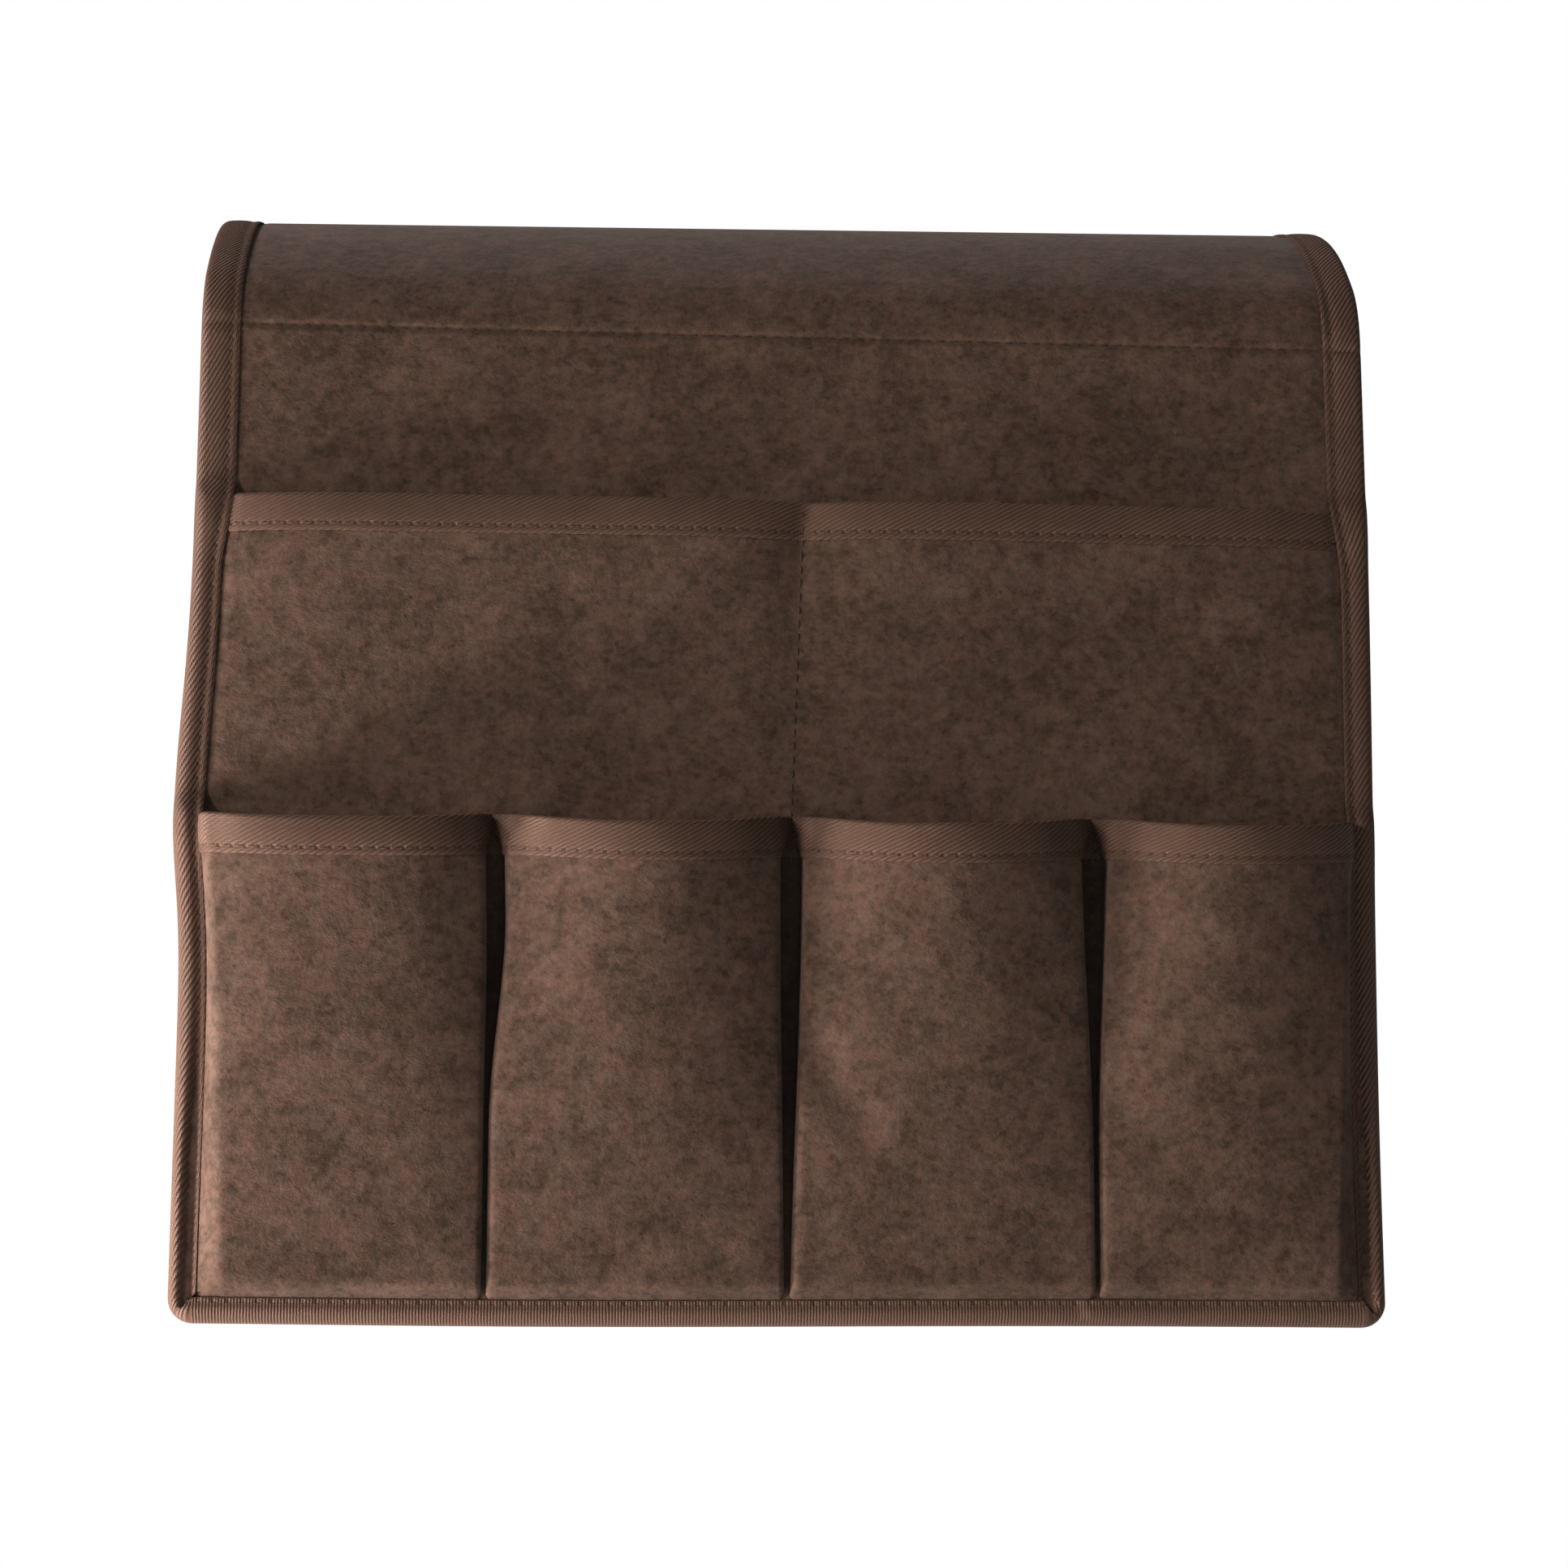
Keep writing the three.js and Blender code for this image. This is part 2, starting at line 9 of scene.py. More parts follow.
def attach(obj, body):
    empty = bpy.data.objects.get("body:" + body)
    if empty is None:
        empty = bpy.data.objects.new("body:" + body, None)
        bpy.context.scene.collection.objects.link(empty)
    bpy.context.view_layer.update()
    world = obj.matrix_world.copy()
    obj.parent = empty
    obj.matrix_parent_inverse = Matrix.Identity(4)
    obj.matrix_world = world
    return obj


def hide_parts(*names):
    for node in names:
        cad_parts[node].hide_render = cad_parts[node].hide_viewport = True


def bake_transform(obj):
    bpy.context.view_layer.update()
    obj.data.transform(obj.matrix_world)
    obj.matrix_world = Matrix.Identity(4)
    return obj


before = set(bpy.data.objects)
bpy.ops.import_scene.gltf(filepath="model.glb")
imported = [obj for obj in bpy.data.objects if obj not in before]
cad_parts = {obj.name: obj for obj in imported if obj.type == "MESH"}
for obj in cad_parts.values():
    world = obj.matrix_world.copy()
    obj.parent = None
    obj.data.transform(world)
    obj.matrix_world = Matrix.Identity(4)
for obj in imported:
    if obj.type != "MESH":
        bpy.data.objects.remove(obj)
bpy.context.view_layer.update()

# The felt sheet: one cut of 2 mm pressed felt that lies over the armrest and hangs down in front of it and
# behind it. It is made here as a front and a rear half, which meet in the middle of the top.
MM = 0.001
arm_flat = 14 * MM
crown_radius = 160 * MM
crown_angle = math.radians(34)
arm_edge_radius = 26 * MM
fold_angle = math.radians(80)
lining_room = 1.3 * MM
edge_turn = fold_angle - crown_angle
crown_end = arm_flat + crown_radius * crown_angle
fold_run = crown_end + arm_edge_radius * edge_turn
organizer_half = 170 * MM
flap_length = 290 * MM
corner_radius = 6.4 * MM
felt = 2 * MM
layer = 2.3 * MM
felt_inset = 2.4 * MM

# Places down the front flap, from the fold line
upper_mouth = 53.4 * MM
upper_mouth_tilt = 0.0056
upper_tape_depth = 10.4 * MM
lower_mouth = 147.4 * MM
lower_tape_depth = 10.6 * MM
ease = 8 * MM
tape_layer = 0.8 * MM


def ramp(value, start, end):
    """0 before start, 1 after end, with a soft S between them"""
    share = np.clip((value - start) / (end - start), 0, 1)
    return share * share * (3 - 2 * share)


def hill(value, middle, before, after):
    """A soft hill of height 1, with its own width before and after its middle"""
    width = np.where(value < middle, before, after)
    return np.exp(-(((value - middle) / width) ** 2))


def stack(drop):
    """Height of the layers in the bound edge of the front flap"""
    upper = ramp(drop, upper_mouth - ease, upper_mouth - 1 * MM)
    lower = ramp(drop, lower_mouth - ease, lower_mouth - 1 * MM)
    return felt + layer * (upper + lower) + 1.2 * MM * mouth_tapes(drop)


def mouth_tapes(drop):
    """How much of a pocket's mouth tape lies at this drop"""
    upper = hill(drop, upper_mouth + upper_tape_depth / 2, 8 * MM, 8 * MM)
    lower = hill(drop, lower_mouth + lower_tape_depth / 2, 9 * MM, 9 * MM)
    return np.maximum(upper, lower)


def tape_reach(drop):
    """How far the edge tape reaches in over the front of the flap"""
    narrow = ramp(drop, upper_mouth - 6 * MM, upper_mouth + 22 * MM)
    return 10.6 * MM - 2.8 * MM * narrow - 0.6 * MM * ramp(drop, 200 * MM, 270 * MM)


hem_reach = 6.1 * MM
stitch_from_lip = 2.3 * MM
hem_stitch_from_lip = 0.9 * MM
fold_seam_dip = 0.27
fold_seam_reach = 0.9 * MM


def pressed(across, drop, above):
    """The edge tape presses the felt under it, and its sewing presses it more along a line.
    The sewn line across the flap's fold presses it too"""
    side = organizer_half - np.abs(across)
    hem = flap_length - drop
    at_hem = hem < side
    inset = np.where(at_hem, hem, side)
    reach = np.where(at_hem, hem_reach, tape_reach(drop))
    line = reach - np.where(at_hem, hem_stitch_from_lip, stitch_from_lip)
    thick = (stack(drop) - felt) / (2 * layer)
    low = ramp(drop, 190 * MM, 260 * MM)
    depth = np.where(at_hem, 0.08, 0.06 + 0.26 * low * thick)
    dip = depth * np.exp(-(((inset - line) / (1.1 * MM + 0.8 * MM * low)) ** 2))
    dip = dip + (0.20 - 0.10 * thick) * (1 - ramp(inset, reach - 0.6 * MM, reach + 2.4 * MM))
    dip = dip + fold_seam_dip * hill(drop, fold_seam(across), fold_seam_reach, fold_seam_reach)
    return np.where(above > 0, above * (1 - dip), above)


def fold_seam(across):
    """The sewn line across the flap's fold, which isn't quite level"""
    return 0.25 * MM + 0.010 * across


def edge_shift(across, drop):
    """The front flap's sides aren't quite straight: the lower pockets push the left one out"""
    left = 0.55 * MM - 3.1 * MM * hill(drop, 146 * MM, 45 * MM, 28 * MM)
    right = 1.5 * MM - 3.2 * MM * ramp(drop, 40 * MM, 260 * MM)
    from_top = ramp(drop, -fold_run, -0.3 * fold_run)
    shift = np.where(across < 0, left, right) * from_top
    return shift * np.abs(across / organizer_half) ** 1.5


def waves(across, drop):
    """Slow unevenness of the hanging felt"""
    fade = ramp(drop, 0, 60 * MM)
    wide = np.sin(across / (31 * MM) + 0.8) * np.sin(drop / (43 * MM) + 0.5)
    slow = np.sin(across / (57 * MM) - drop / (71 * MM) + 2.1)
    return fade * (0.45 * MM * wide + 0.5 * MM * slow)


def top_lift(across, along):
    """The felt stands a little off the armrest in the middle of the top, more on the right"""
    return (1.75 * MM + 0.0038 * across) * (1 - ramp(along, 0.4 * fold_run, fold_run))


def hem_wave(across, drop):
    """The hem of the front flap isn't quite straight"""
    return 0.36 * MM * np.cos((across + 65 * MM) / (52 * MM)) * ramp(drop, 150 * MM, flap_length)


def drape(across, along, above, way=-1):
    """A point of the cloth: across it, along it from the middle of the top, and above its
    underside. way is -1 to the front and 1 to the rear"""
    across, along, above = np.broadcast_arrays(across, along, above)
    drop = along - fold_run
    if way < 0:
        above = pressed(across, drop, above) + waves(across, drop)
        across = across + edge_shift(across, drop)
    crown = np.clip((along - arm_flat) / crown_radius, 0, crown_angle)
    turn = np.clip((along - crown_end) / arm_edge_radius, 0, edge_turn)
    slope = crown + turn
    fall = np.maximum(drop, 0)
    if way < 0:
        fall = fall + hem_wave(across, drop)
    bent = np.sin(crown_angle + turn) - math.sin(crown_angle)
    y = np.minimum(along, arm_flat) + crown_radius * np.sin(crown) + arm_edge_radius * bent
    y = y + fall * math.cos(fold_angle)
    bent = np.cos(crown_angle + turn) - math.cos(crown_angle)
    z = crown_radius * (np.cos(crown) - 1) + arm_edge_radius * bent
    z = z - fall * math.sin(fold_angle)
    height = above + lining_room + top_lift(across, along)
    y = y + height * np.sin(slope)
    z = z + height * np.cos(slope)
    return np.stack([across, way * y, z], axis=-1)


def placed(name, data):
    """A new object in the scene"""
    made = bpy.data.objects.new(name, data)
    bpy.context.scene.collection.objects.link(made)
    return made


def uv(first, second):
    """A UV map: two numbers at each point of a grid"""
    return np.stack(np.broadcast_arrays(first, second), axis=-1)


def cloth(name, finish, outer, inner, maps=None):
    """Closed cloth between two grids of points, rows by columns, which share their rims.
    maps holds UV maps by name, each for the whole grid or for one row that repeats"""
    rows, columns = outer.shape[:2]
    points = np.concatenate([outer.reshape(-1, 3), inner.reshape(-1, 3)])
    number = np.arange(rows * columns).reshape(rows, columns)
    a, b, c, d = number[:-1, :-1], number[1:, :-1], number[1:, 1:], number[:-1, 1:]
    faces = [np.stack([a, b, c, d], -1).reshape(-1, 4)]
    faces.append((np.stack([a, d, c, b], -1) + rows * columns).reshape(-1, 4))
    for top in (number[0, :], number[:, -1], number[-1, ::-1], number[::-1, 0]):
        low = top + rows * columns
        faces.append(np.stack([top[:-1], top[1:], low[1:], low[:-1]], -1))
    faces = np.concatenate(faces)
    corner = [points[faces[:, place]] for place in range(4)]
    crossed = np.cross(corner[1], corner[2]) + np.cross(corner[2], corner[3])
    if np.sum(corner[0] * crossed) < 0:
        faces = faces[:, ::-1]
    mesh = bpy.data.meshes.new(name)
    mesh.from_pydata(points.tolist(), [], faces.tolist())
    point_of = np.empty(len(mesh.loops), dtype=np.int32)
    mesh.loops.foreach_get("vertex_index", point_of)
    for key, grid in (maps or {}).items():
        pairs = np.broadcast_to(grid, (2, rows, columns, 2)).reshape(-1, 2)[point_of]
        mesh.uv_layers.new(name=key).data.foreach_set("uv", pairs.astype(np.float32).ravel())
    mesh.materials.append(finish)
    piece = placed(name, mesh)
    tidy_mesh(piece)
    return piece


def tidy_mesh(piece):
    """Joins points that coincide, drops empty faces, and shades smooth up to sharp rims"""
    same = 0.002 * MM
    work = bmesh.new()
    work.from_mesh(piece.data)
    bmesh.ops.remove_doubles(work, verts=work.verts, dist=same)
    bmesh.ops.dissolve_degenerate(work, edges=work.edges, dist=same)
    work.to_mesh(piece.data)
    work.free()
    piece.data.shade_smooth()
    piece.data.set_sharp_from_angle(angle=math.radians(50))


def new_node(tree, kind, settings, inputs, output=0):
    """What a new node of a tree puts out, with its settings, and its inputs by name or number"""
    made = tree.nodes.new(kind)
    for key, value in settings.items():
        setattr(made, key, value)
    for key, value in inputs.items():
        if isinstance(value, bpy.types.NodeSocket):
            tree.links.new(value, made.inputs[key])
        else:
            made.inputs[key].default_value = value
    return made.outputs[output]


class Number:
    """One number of a finish, so that its maths reads as plain Python"""

    def __init__(self, finish, socket):
        self.finish = finish
        self.socket = socket

    def __add__(self, other):
        return self.finish.maths("ADD", self, other)

    def __sub__(self, other):
        return self.finish.maths("SUBTRACT", self, other)

    def __rsub__(self, other):
        return self.finish.maths("SUBTRACT", other, self)

    def __mul__(self, other):
        return self.finish.maths("MULTIPLY", self, other)

    __radd__ = __add__
    __rmul__ = __mul__


class Finish:
    """A finish: one material, with the nodes that make its pattern"""

    def __init__(self, name, roughness, shine, sheen, sheen_tint):
        self.material = bpy.data.materials.new(name)
        self.material.use_nodes = True
        self.tree = self.material.node_tree
        self.shader = self.tree.nodes["Principled BSDF"]
        looks = {"Roughness": roughness, "Specular IOR Level": shine, "Specular Tint": (*sheen_tint, 1)}
        looks |= {"Sheen Weight": sheen, "Sheen Roughness": 0.5, "Sheen Tint": (*sheen_tint, 1)}
        for key, value in looks.items():
            self.shader.inputs[key].default_value = value

    def node(self, kind, settings, inputs, output=0):
        """The number that a new node makes from its inputs"""
        inputs = {key: getattr(value, "socket", value) for key, value in inputs.items()}
        return Number(self, new_node(self.tree, kind, settings, inputs, output))

    def maths(self, operation, *values):
        """One step of maths"""
        return self.node("ShaderNodeMath", {"operation": operation}, dict(enumerate(values)))

    def place(self):
        """The place in metres"""
        return self.node("ShaderNodeTexCoord", {}, {}, output=3)

    def from_map(self, name, axis=0):
        """One of the two numbers of a UV map"""
        pair = self.node("ShaderNodeUVMap", {"uv_map": name}, {})
        return self.node("ShaderNodeSeparateXYZ", {}, {"Vector": pair}, output=axis)

    def noise(self, place, scale, detail=2, roughness=0.5):
        """Soft noise from 0 to 1, with features of one over scale metres"""
        sizes = {"Vector": place, "Scale": scale, "Detail": detail, "Roughness": roughness}
        return self.node("ShaderNodeTexNoise", {}, sizes)

    def bands(self, place, axis, scale, distortion):
        """Bands across an axis, from 0 to 1"""
        sizes = {"Vector": place, "Scale": scale, "Distortion": distortion}
        return self.node("ShaderNodeTexWave", {"bands_direction": axis}, sizes)

    def wave(self, turns):
        """From 0 to 1 and back in each turn"""
        return 0.5 + 0.5 * self.maths("SINE", turns * (2 * math.pi))

    def stretched(self, place, stretch, turn=(0, 0, 0)):
        """The place with its axes stretched, for a pattern that runs one way"""
        return self.node("ShaderNodeMapping", {}, {"Vector": place, "Scale": stretch, "Rotation": turn})

    def step(self, value, start, end):
        """0 below start, 1 above end, soft between them"""
        limits = {"Value": value, "From Min": start, "From Max": end}
        return self.node("ShaderNodeMapRange", {"interpolation_type": "SMOOTHSTEP"}, limits)

    def mixed(self, share, first, second):
        """One colour into another by share"""
        colours = {0: share, 6: first, 7: second}
        return self.node("ShaderNodeMix", {"data_type": "RGBA"}, colours, output=2)

    def finished(self, colour, relief, depth):
        """Sets the colour and the relief, which is depth metres high"""
        heights = {"Height": relief, "Distance": depth, "Strength": 1.0}
        bump = self.node("ShaderNodeBump", {}, heights)
        self.tree.links.new(colour.socket, self.shader.inputs["Base Color"])
        self.tree.links.new(bump.socket, self.shader.inputs["Normal"])
        return self.material


# Painted shadow: the near-black colour that felt and tape deep in the pleats are mixed towards
pleat_shadow = (0.004, 0.003, 0.002, 1)


def felt_finish():
    """Pressed felt: matted fibres in browns that differ a little, in soft clouds, with ragged dark tufts.
    The map pleat says how deep in a pleat it lies, and there the felt is mixed towards near black as painted
    shade"""
    made = Finish("felt", roughness=0.95, shine=0.15, sheen=0.05, sheen_tint=(0.95, 0.93, 0.92))
    place = made.place()
    clouds = made.noise(place, 52, detail=3, roughness=0.6)
    patches = made.noise(place, 170, detail=3, roughness=0.65)
    mottle = made.noise(made.stretched(place, (0.95, 1.05, 1.05)), 340, detail=3, roughness=0.65)
    tufts = made.noise(made.stretched(place, (0.85, 1.1, 1.1)), 640, detail=3, roughness=0.65)
    fibres = made.noise(made.stretched(place, (0.6, 1, 1), (0, 0.25, 0)), 1900, detail=3, roughness=0.7)
    warmth = made.noise(place, 190, detail=3)
    warm = made.step(warmth, 0.38, 0.62)
    body = made.mixed(warm, (0.0926, 0.0603, 0.0444, 1), (0.1005, 0.0588, 0.0428, 1))
    dark = made.mixed(warm, (0.0280, 0.0181, 0.0108, 1), (0.0292, 0.0178, 0.0108, 1))
    shade = 0.28 * made.step(clouds, 0.66, 0.34) + 0.26 * made.step(patches, 0.68, 0.32)
    shade = shade + 0.34 * made.step(mottle, 0.68, 0.32)
    specks = made.step(tufts, 0.46, 0.30) * (0.4 + 0.6 * made.step(mottle, 0.56, 0.40))
    grain = made.step(tufts, 0.66, 0.36) + made.step(fibres, 0.66, 0.34)
    colour = made.mixed(shade + 0.22 * specks + 0.14 * grain, body, dark)
    # Painted shade: deep in the pleats the felt is mixed towards near black, where the pleats lie in shadow
    colour = made.mixed(0.85 * made.from_map("pleat"), colour, pleat_shadow)
    relief = 0.35 * fibres + 0.45 * tufts + 0.35 * patches
    return made.finished(colour, relief, 0.45 * MM)


felt_look = felt_finish()


def spread(start, end, step):
    """Evenly spread values from start to end, about a step apart"""
    return np.linspace(start, end, max(2, int(round(abs(end - start) / step)) + 1))


def joined(*parts):
    """One row of values from parts that meet end to end"""
    return np.concatenate([parts[0]] + [part[1:] for part in parts[1:]])


def felt_half_width(drop):
    """Half the width of a flap's felt, with the rounded corners of its hem"""
    radius = corner_radius - felt_inset
    past = np.clip(drop - (flap_length - felt_inset - radius), 0, radius)
    return organizer_half - felt_inset - radius + np.sqrt(radius**2 - past**2)


sheet_end = flap_length - felt_inset
corner_drops = sheet_end - (corner_radius - felt_inset) * (1 - np.sin(np.linspace(0, math.pi / 2, 7)))


bend_reach = 13 * MM


def bends(piece, way):
    """The piece crosses a fold line: this works out the two ends of a short stretch round the fold, and
    bakes the piece's place into its points
    """
    start, end = (tuple(drape(0.0, fold_run + reach, felt, way)) for reach in (-bend_reach, bend_reach))
    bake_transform(piece)


def felt_half(name, way, *nodes):
    """Half of the sheet, from the middle of the top to the hem"""
    near = 3.5 * MM
    along = joined(
        spread(0, fold_run - near, 2.5 * MM),
        spread(fold_run - near, fold_run + near, 0.4 * MM),
        spread(fold_run + near, fold_run + corner_drops[0], 2.5 * MM),
        fold_run + corner_drops,
    )
    across = spread(-1, 1, 2.8 * MM / organizer_half)[:, None] * felt_half_width(along - fold_run)
    piece = cloth(name, felt_look, drape(across, along, felt, way), drape(across, along, 0, way))
    bends(piece, way)
    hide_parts(*nodes)
    return piece


front_felt = felt_half("front_felt", -1, "top_panel", "front_panel")
rear_felt = felt_half("rear_felt", 1, "rear_panel")


# The grip lining: thin knitted backing sewn under the part that lies on the armrest. Small
# rubber dots are printed on its underside, so that the organizer doesn't slide.
lining_thickness = 1 * MM
lining_gap = 0.3 * MM
lining_half = 158 * MM
dot_pitch = 7 * MM
dot_radius = 1.2 * MM
dot_height = 0.5 * MM


def over_arm(across, run, above):
    """A point over the armrest: run is 0 in the middle of the top, negative to the front"""
    across, run, above = np.broadcast_arrays(across, run, above)
    to_front = drape(across, np.abs(run), above, -1)
    to_rear = drape(across, np.abs(run), above, 1)
    return np.where((run < 0)[..., None], to_front, to_rear)


def lining_finish():
    """Dark knit: fine ribs along it, with small loops across them"""
    made = Finish("grip_lining", roughness=0.85, shine=0.15, sheen=0.08, sheen_tint=(0.6, 0.55, 0.5))
    place = made.place()
    knit = 0.6 * made.bands(place, "X", 210, 0.6) + 0.4 * made.bands(place, "Y", 260, 0.8)
    blotches = made.noise(place, 90, detail=3)
    colour = made.mixed(0.55 * knit + 0.35 * blotches, (0.017, 0.013, 0.011, 1), (0.044, 0.033, 0.028, 1))
    return made.finished(colour, knit, 0.25 * MM)


def dot_finish():
    """Soft black rubber, a little worn on top"""
    made = Finish("grip_dots", roughness=0.55, shine=0.15, sheen=0.0, sheen_tint=(1, 1, 1))
    wear = made.noise(made.place(), 700, detail=3)
    colour = made.mixed(made.step(wear, 0.4, 0.65), (0.012, 0.011, 0.011, 1), (0.028, 0.025, 0.024, 1))
    return made.finished(colour, wear, 0.06 * MM)


def repeated(name, finish, places, facings, headings, shape):
    """One small shape at each place, made by a tree of nodes. shape builds the small thing
    from the tree and returns its socket. It stands along facing and points along heading"""
    tree = bpy.data.node_groups.new(name, "GeometryNodeTree")
    tree.interface.new_socket("Places", in_out="INPUT", socket_type="NodeSocketGeometry")
    tree.interface.new_socket("Pieces", in_out="OUTPUT", socket_type="NodeSocketGeometry")
    sizes = {}
    inlet = tree.nodes.new("NodeGroupInput")
    outlet = tree.nodes.new("NodeGroupOutput")

    def made(*what):
        return new_node(tree, *what)

    def size(label, value):
        socket = tree.interface.new_socket(label, in_out="INPUT", socket_type="NodeSocketFloat")
        sizes[socket.identifier] = value
        return inlet.outputs[label]

    small = shape(made, size)
    ways = {"facing": facings, "heading": headings}
    facing, heading = (
        made("GeometryNodeInputNamedAttribute", {"data_type": "FLOAT_VECTOR"}, {"Name": key}) for key in ways
    )
    turned = made("FunctionNodeAlignRotationToVector", {"axis": "X"}, {"Vector": heading})
    upright = {"axis": "Z", "pivot_axis": "X"}
    turned = made("FunctionNodeAlignRotationToVector", upright, {"Rotation": turned, "Vector": facing})
    put = {"Points": inlet.outputs["Places"], "Instance": small, "Rotation": turned}
    pieces = made("GeometryNodeInstanceOnPoints", {}, put)
    pieces = made("GeometryNodeRealizeInstances", {}, {"Geometry": pieces})
    pieces = made("GeometryNodeSetMaterial", {}, {"Geometry": pieces, "Material": finish})
    tree.links.new(pieces, outlet.inputs["Pieces"])

    mesh = bpy.data.meshes.new(name + "_places")
    mesh.from_pydata(np.asarray(places).tolist(), [], [])
    for key, values in ways.items():
        attribute = mesh.attributes.new(key, "FLOAT_VECTOR", "POINT")
        attribute.data.foreach_set("vector", np.asarray(values, dtype=np.float32).ravel())
    carrier = placed(name + "_places", mesh)
    nodes = carrier.modifiers.new("Pieces", "NODES")
    nodes.node_group = tree
    for identifier, value in sizes.items():
        nodes[identifier] = value
    bpy.context.view_layer.update()
    ready = carrier.evaluated_get(bpy.context.evaluated_depsgraph_get())
    final = bpy.data.meshes.new_from_object(ready)
    final.name = name
    bpy.data.objects.remove(carrier)
    final.shade_smooth()
    return placed(name, final)


def dot_shape(made, size):
    """A low round dot"""
    radius = size("Radius", dot_radius)
    flatness = size("Flatness", dot_height / dot_radius)
    ball = made("GeometryNodeMeshIcoSphere", {}, {"Radius": radius, "Subdivisions": 2})
    flat = made("ShaderNodeCombineXYZ", {}, {"X": 1.0, "Y": 1.0, "Z": flatness})
    return made("GeometryNodeTransform", {}, {"Geometry": ball, "Scale": flat})


lining_across = spread(-lining_half, lining_half, 5 * MM)[:, None]
lining_runs = spread(-fold_run + 1 * MM, fold_run - 1 * MM, 3 * MM)[None, :]
grip_lining = cloth(
    "grip_backing",
    lining_finish(),
    over_arm(lining_across, lining_runs, -lining_gap),
    over_arm(lining_across, lining_runs, -lining_gap - lining_thickness),
)
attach(grip_lining, "top")
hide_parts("grip_lining")

dot_rows = spread(-fold_run + 8 * MM, fold_run - 8 * MM, dot_pitch)
dots = []
for row, run in enumerate(dot_rows):
    start = -lining_half + 7 * MM + (row % 2) * dot_pitch / 2
    dots += [(across, run) for across in np.arange(start, lining_half - 6 * MM, dot_pitch)]
dots = np.array(dots)
under = over_arm(dots[:, 0], dots[:, 1], -lining_gap - lining_thickness)
lower = over_arm(dots[:, 0], dots[:, 1], -lining_gap - 2 * lining_thickness)
sideways = np.tile([1.0, 0.0, 0.0], (len(dots), 1))
grip_dots = repeated("grip_dots", dot_finish(), under, lower - under, sideways, dot_shape)
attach(grip_dots, "top")


# The upper pocket panel: one sheet of the same felt, bound into the edges of the flap down to
# the hem. One seam down its middle makes two flat pockets, which stand a little open.
upper_lift = 5.5 * MM
upper_sag = 0.5 * MM
upper_lift_length = 88 * MM
upper_seam = 6.2 * MM
upper_seam_lean = 0.04
upper_seam_half = 1.2 * MM
upper_shares = joined(np.linspace(0, 0.1, 9), np.linspace(0.1, 0.9, 40), np.linspace(0.9, 1, 9))


def round_front(share, power):
    """Height across a pocket, from 0 at its seams to 1 in the middle"""
    return 1 - np.abs(2 * share - 1) ** power


def upper_seam_place(drop):
    """Where the seam between the two upper pockets lies across, which leans a little"""
    return upper_seam - upper_seam_lean * (drop - upper_mouth)


def upper_middle(drop):
    """The middle of the felt of the upper panel at a drop: across, real drop and height"""
    base = layer + felt / 2 + tape_layer * mouth_tapes(drop) * ramp(130 * MM - drop, 0, 10 * MM)
    half = felt_half_width(drop)
    sewn = organizer_half - tape_reach(drop) - 0.4 * MM
    seam = upper_seam_place(drop)
    opened = 1 - ramp(drop, upper_mouth, upper_mouth + upper_lift_length)
    across, open_share = [-half], [0]
    for start, end in ((-sewn, seam - upper_seam_half), (seam + upper_seam_half, sewn)):
        across.extend(start + (end - start) * upper_shares)
        open_share.extend(opened * round_front(upper_shares, 5))
    across, open_share = np.array([*across, half]), np.array([*open_share, 0])
    tilt = upper_mouth_tilt * across * (1 - ramp(drop, upper_mouth, upper_mouth + 60 * MM))
    return across, drop + upper_sag * open_share + tilt, base + upper_lift * open_share


def sheet_points(middle, drop, above):
    """Points of a sheet at a height above its middle, square to it"""
    across, real_drop, height = middle(drop)
    rise = np.gradient(height)
    step = np.gradient(across)
    length = np.hypot(rise, step)
    return drape(across - above * rise / length, fold_run + real_drop, height + above * step / length)


def no_pleat_shade(drop):
    """The upper pockets have no pleats, so they get no painted pleat shade"""
    return 0 * upper_middle(drop)[0]


def pocket_sheet(name, node, middle, drops, depth):
    """A pocket sheet of felt from its middle surface; depth gives the share of painted shade in its pleats
    """
    outer = np.stack([sheet_points(middle, drop, felt / 2) for drop in drops], axis=1)
    inner = np.stack([sheet_points(middle, drop, -felt / 2) for drop in drops], axis=1)
    deep = np.stack([depth(drop) for drop in drops], axis=1)
    piece = cloth(name, felt_look, outer, inner, {"pleat": uv(deep, 0)})
    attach(piece, "front_flap")
    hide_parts(node)
    return piece


upper_drops = joined(spread(upper_mouth, corner_drops[0], 3 * MM), corner_drops)
upper_sheet = pocket_sheet(
    "upper_pocket_sheet", "upper_pocket_panel", upper_middle, upper_drops, no_pleat_shade
)


# The tape on the mouth of the upper pockets: 22 mm twill tape folded over the edge of the
# felt and sewn near its lower edge. Its ribs run along it at a slant.
tape = 0.6 * MM
tape_gap = 0.05 * MM
rib_pitch = 1.15 * MM
rib_slant = math.radians(28)
stitch_pitch = 4.05 * MM


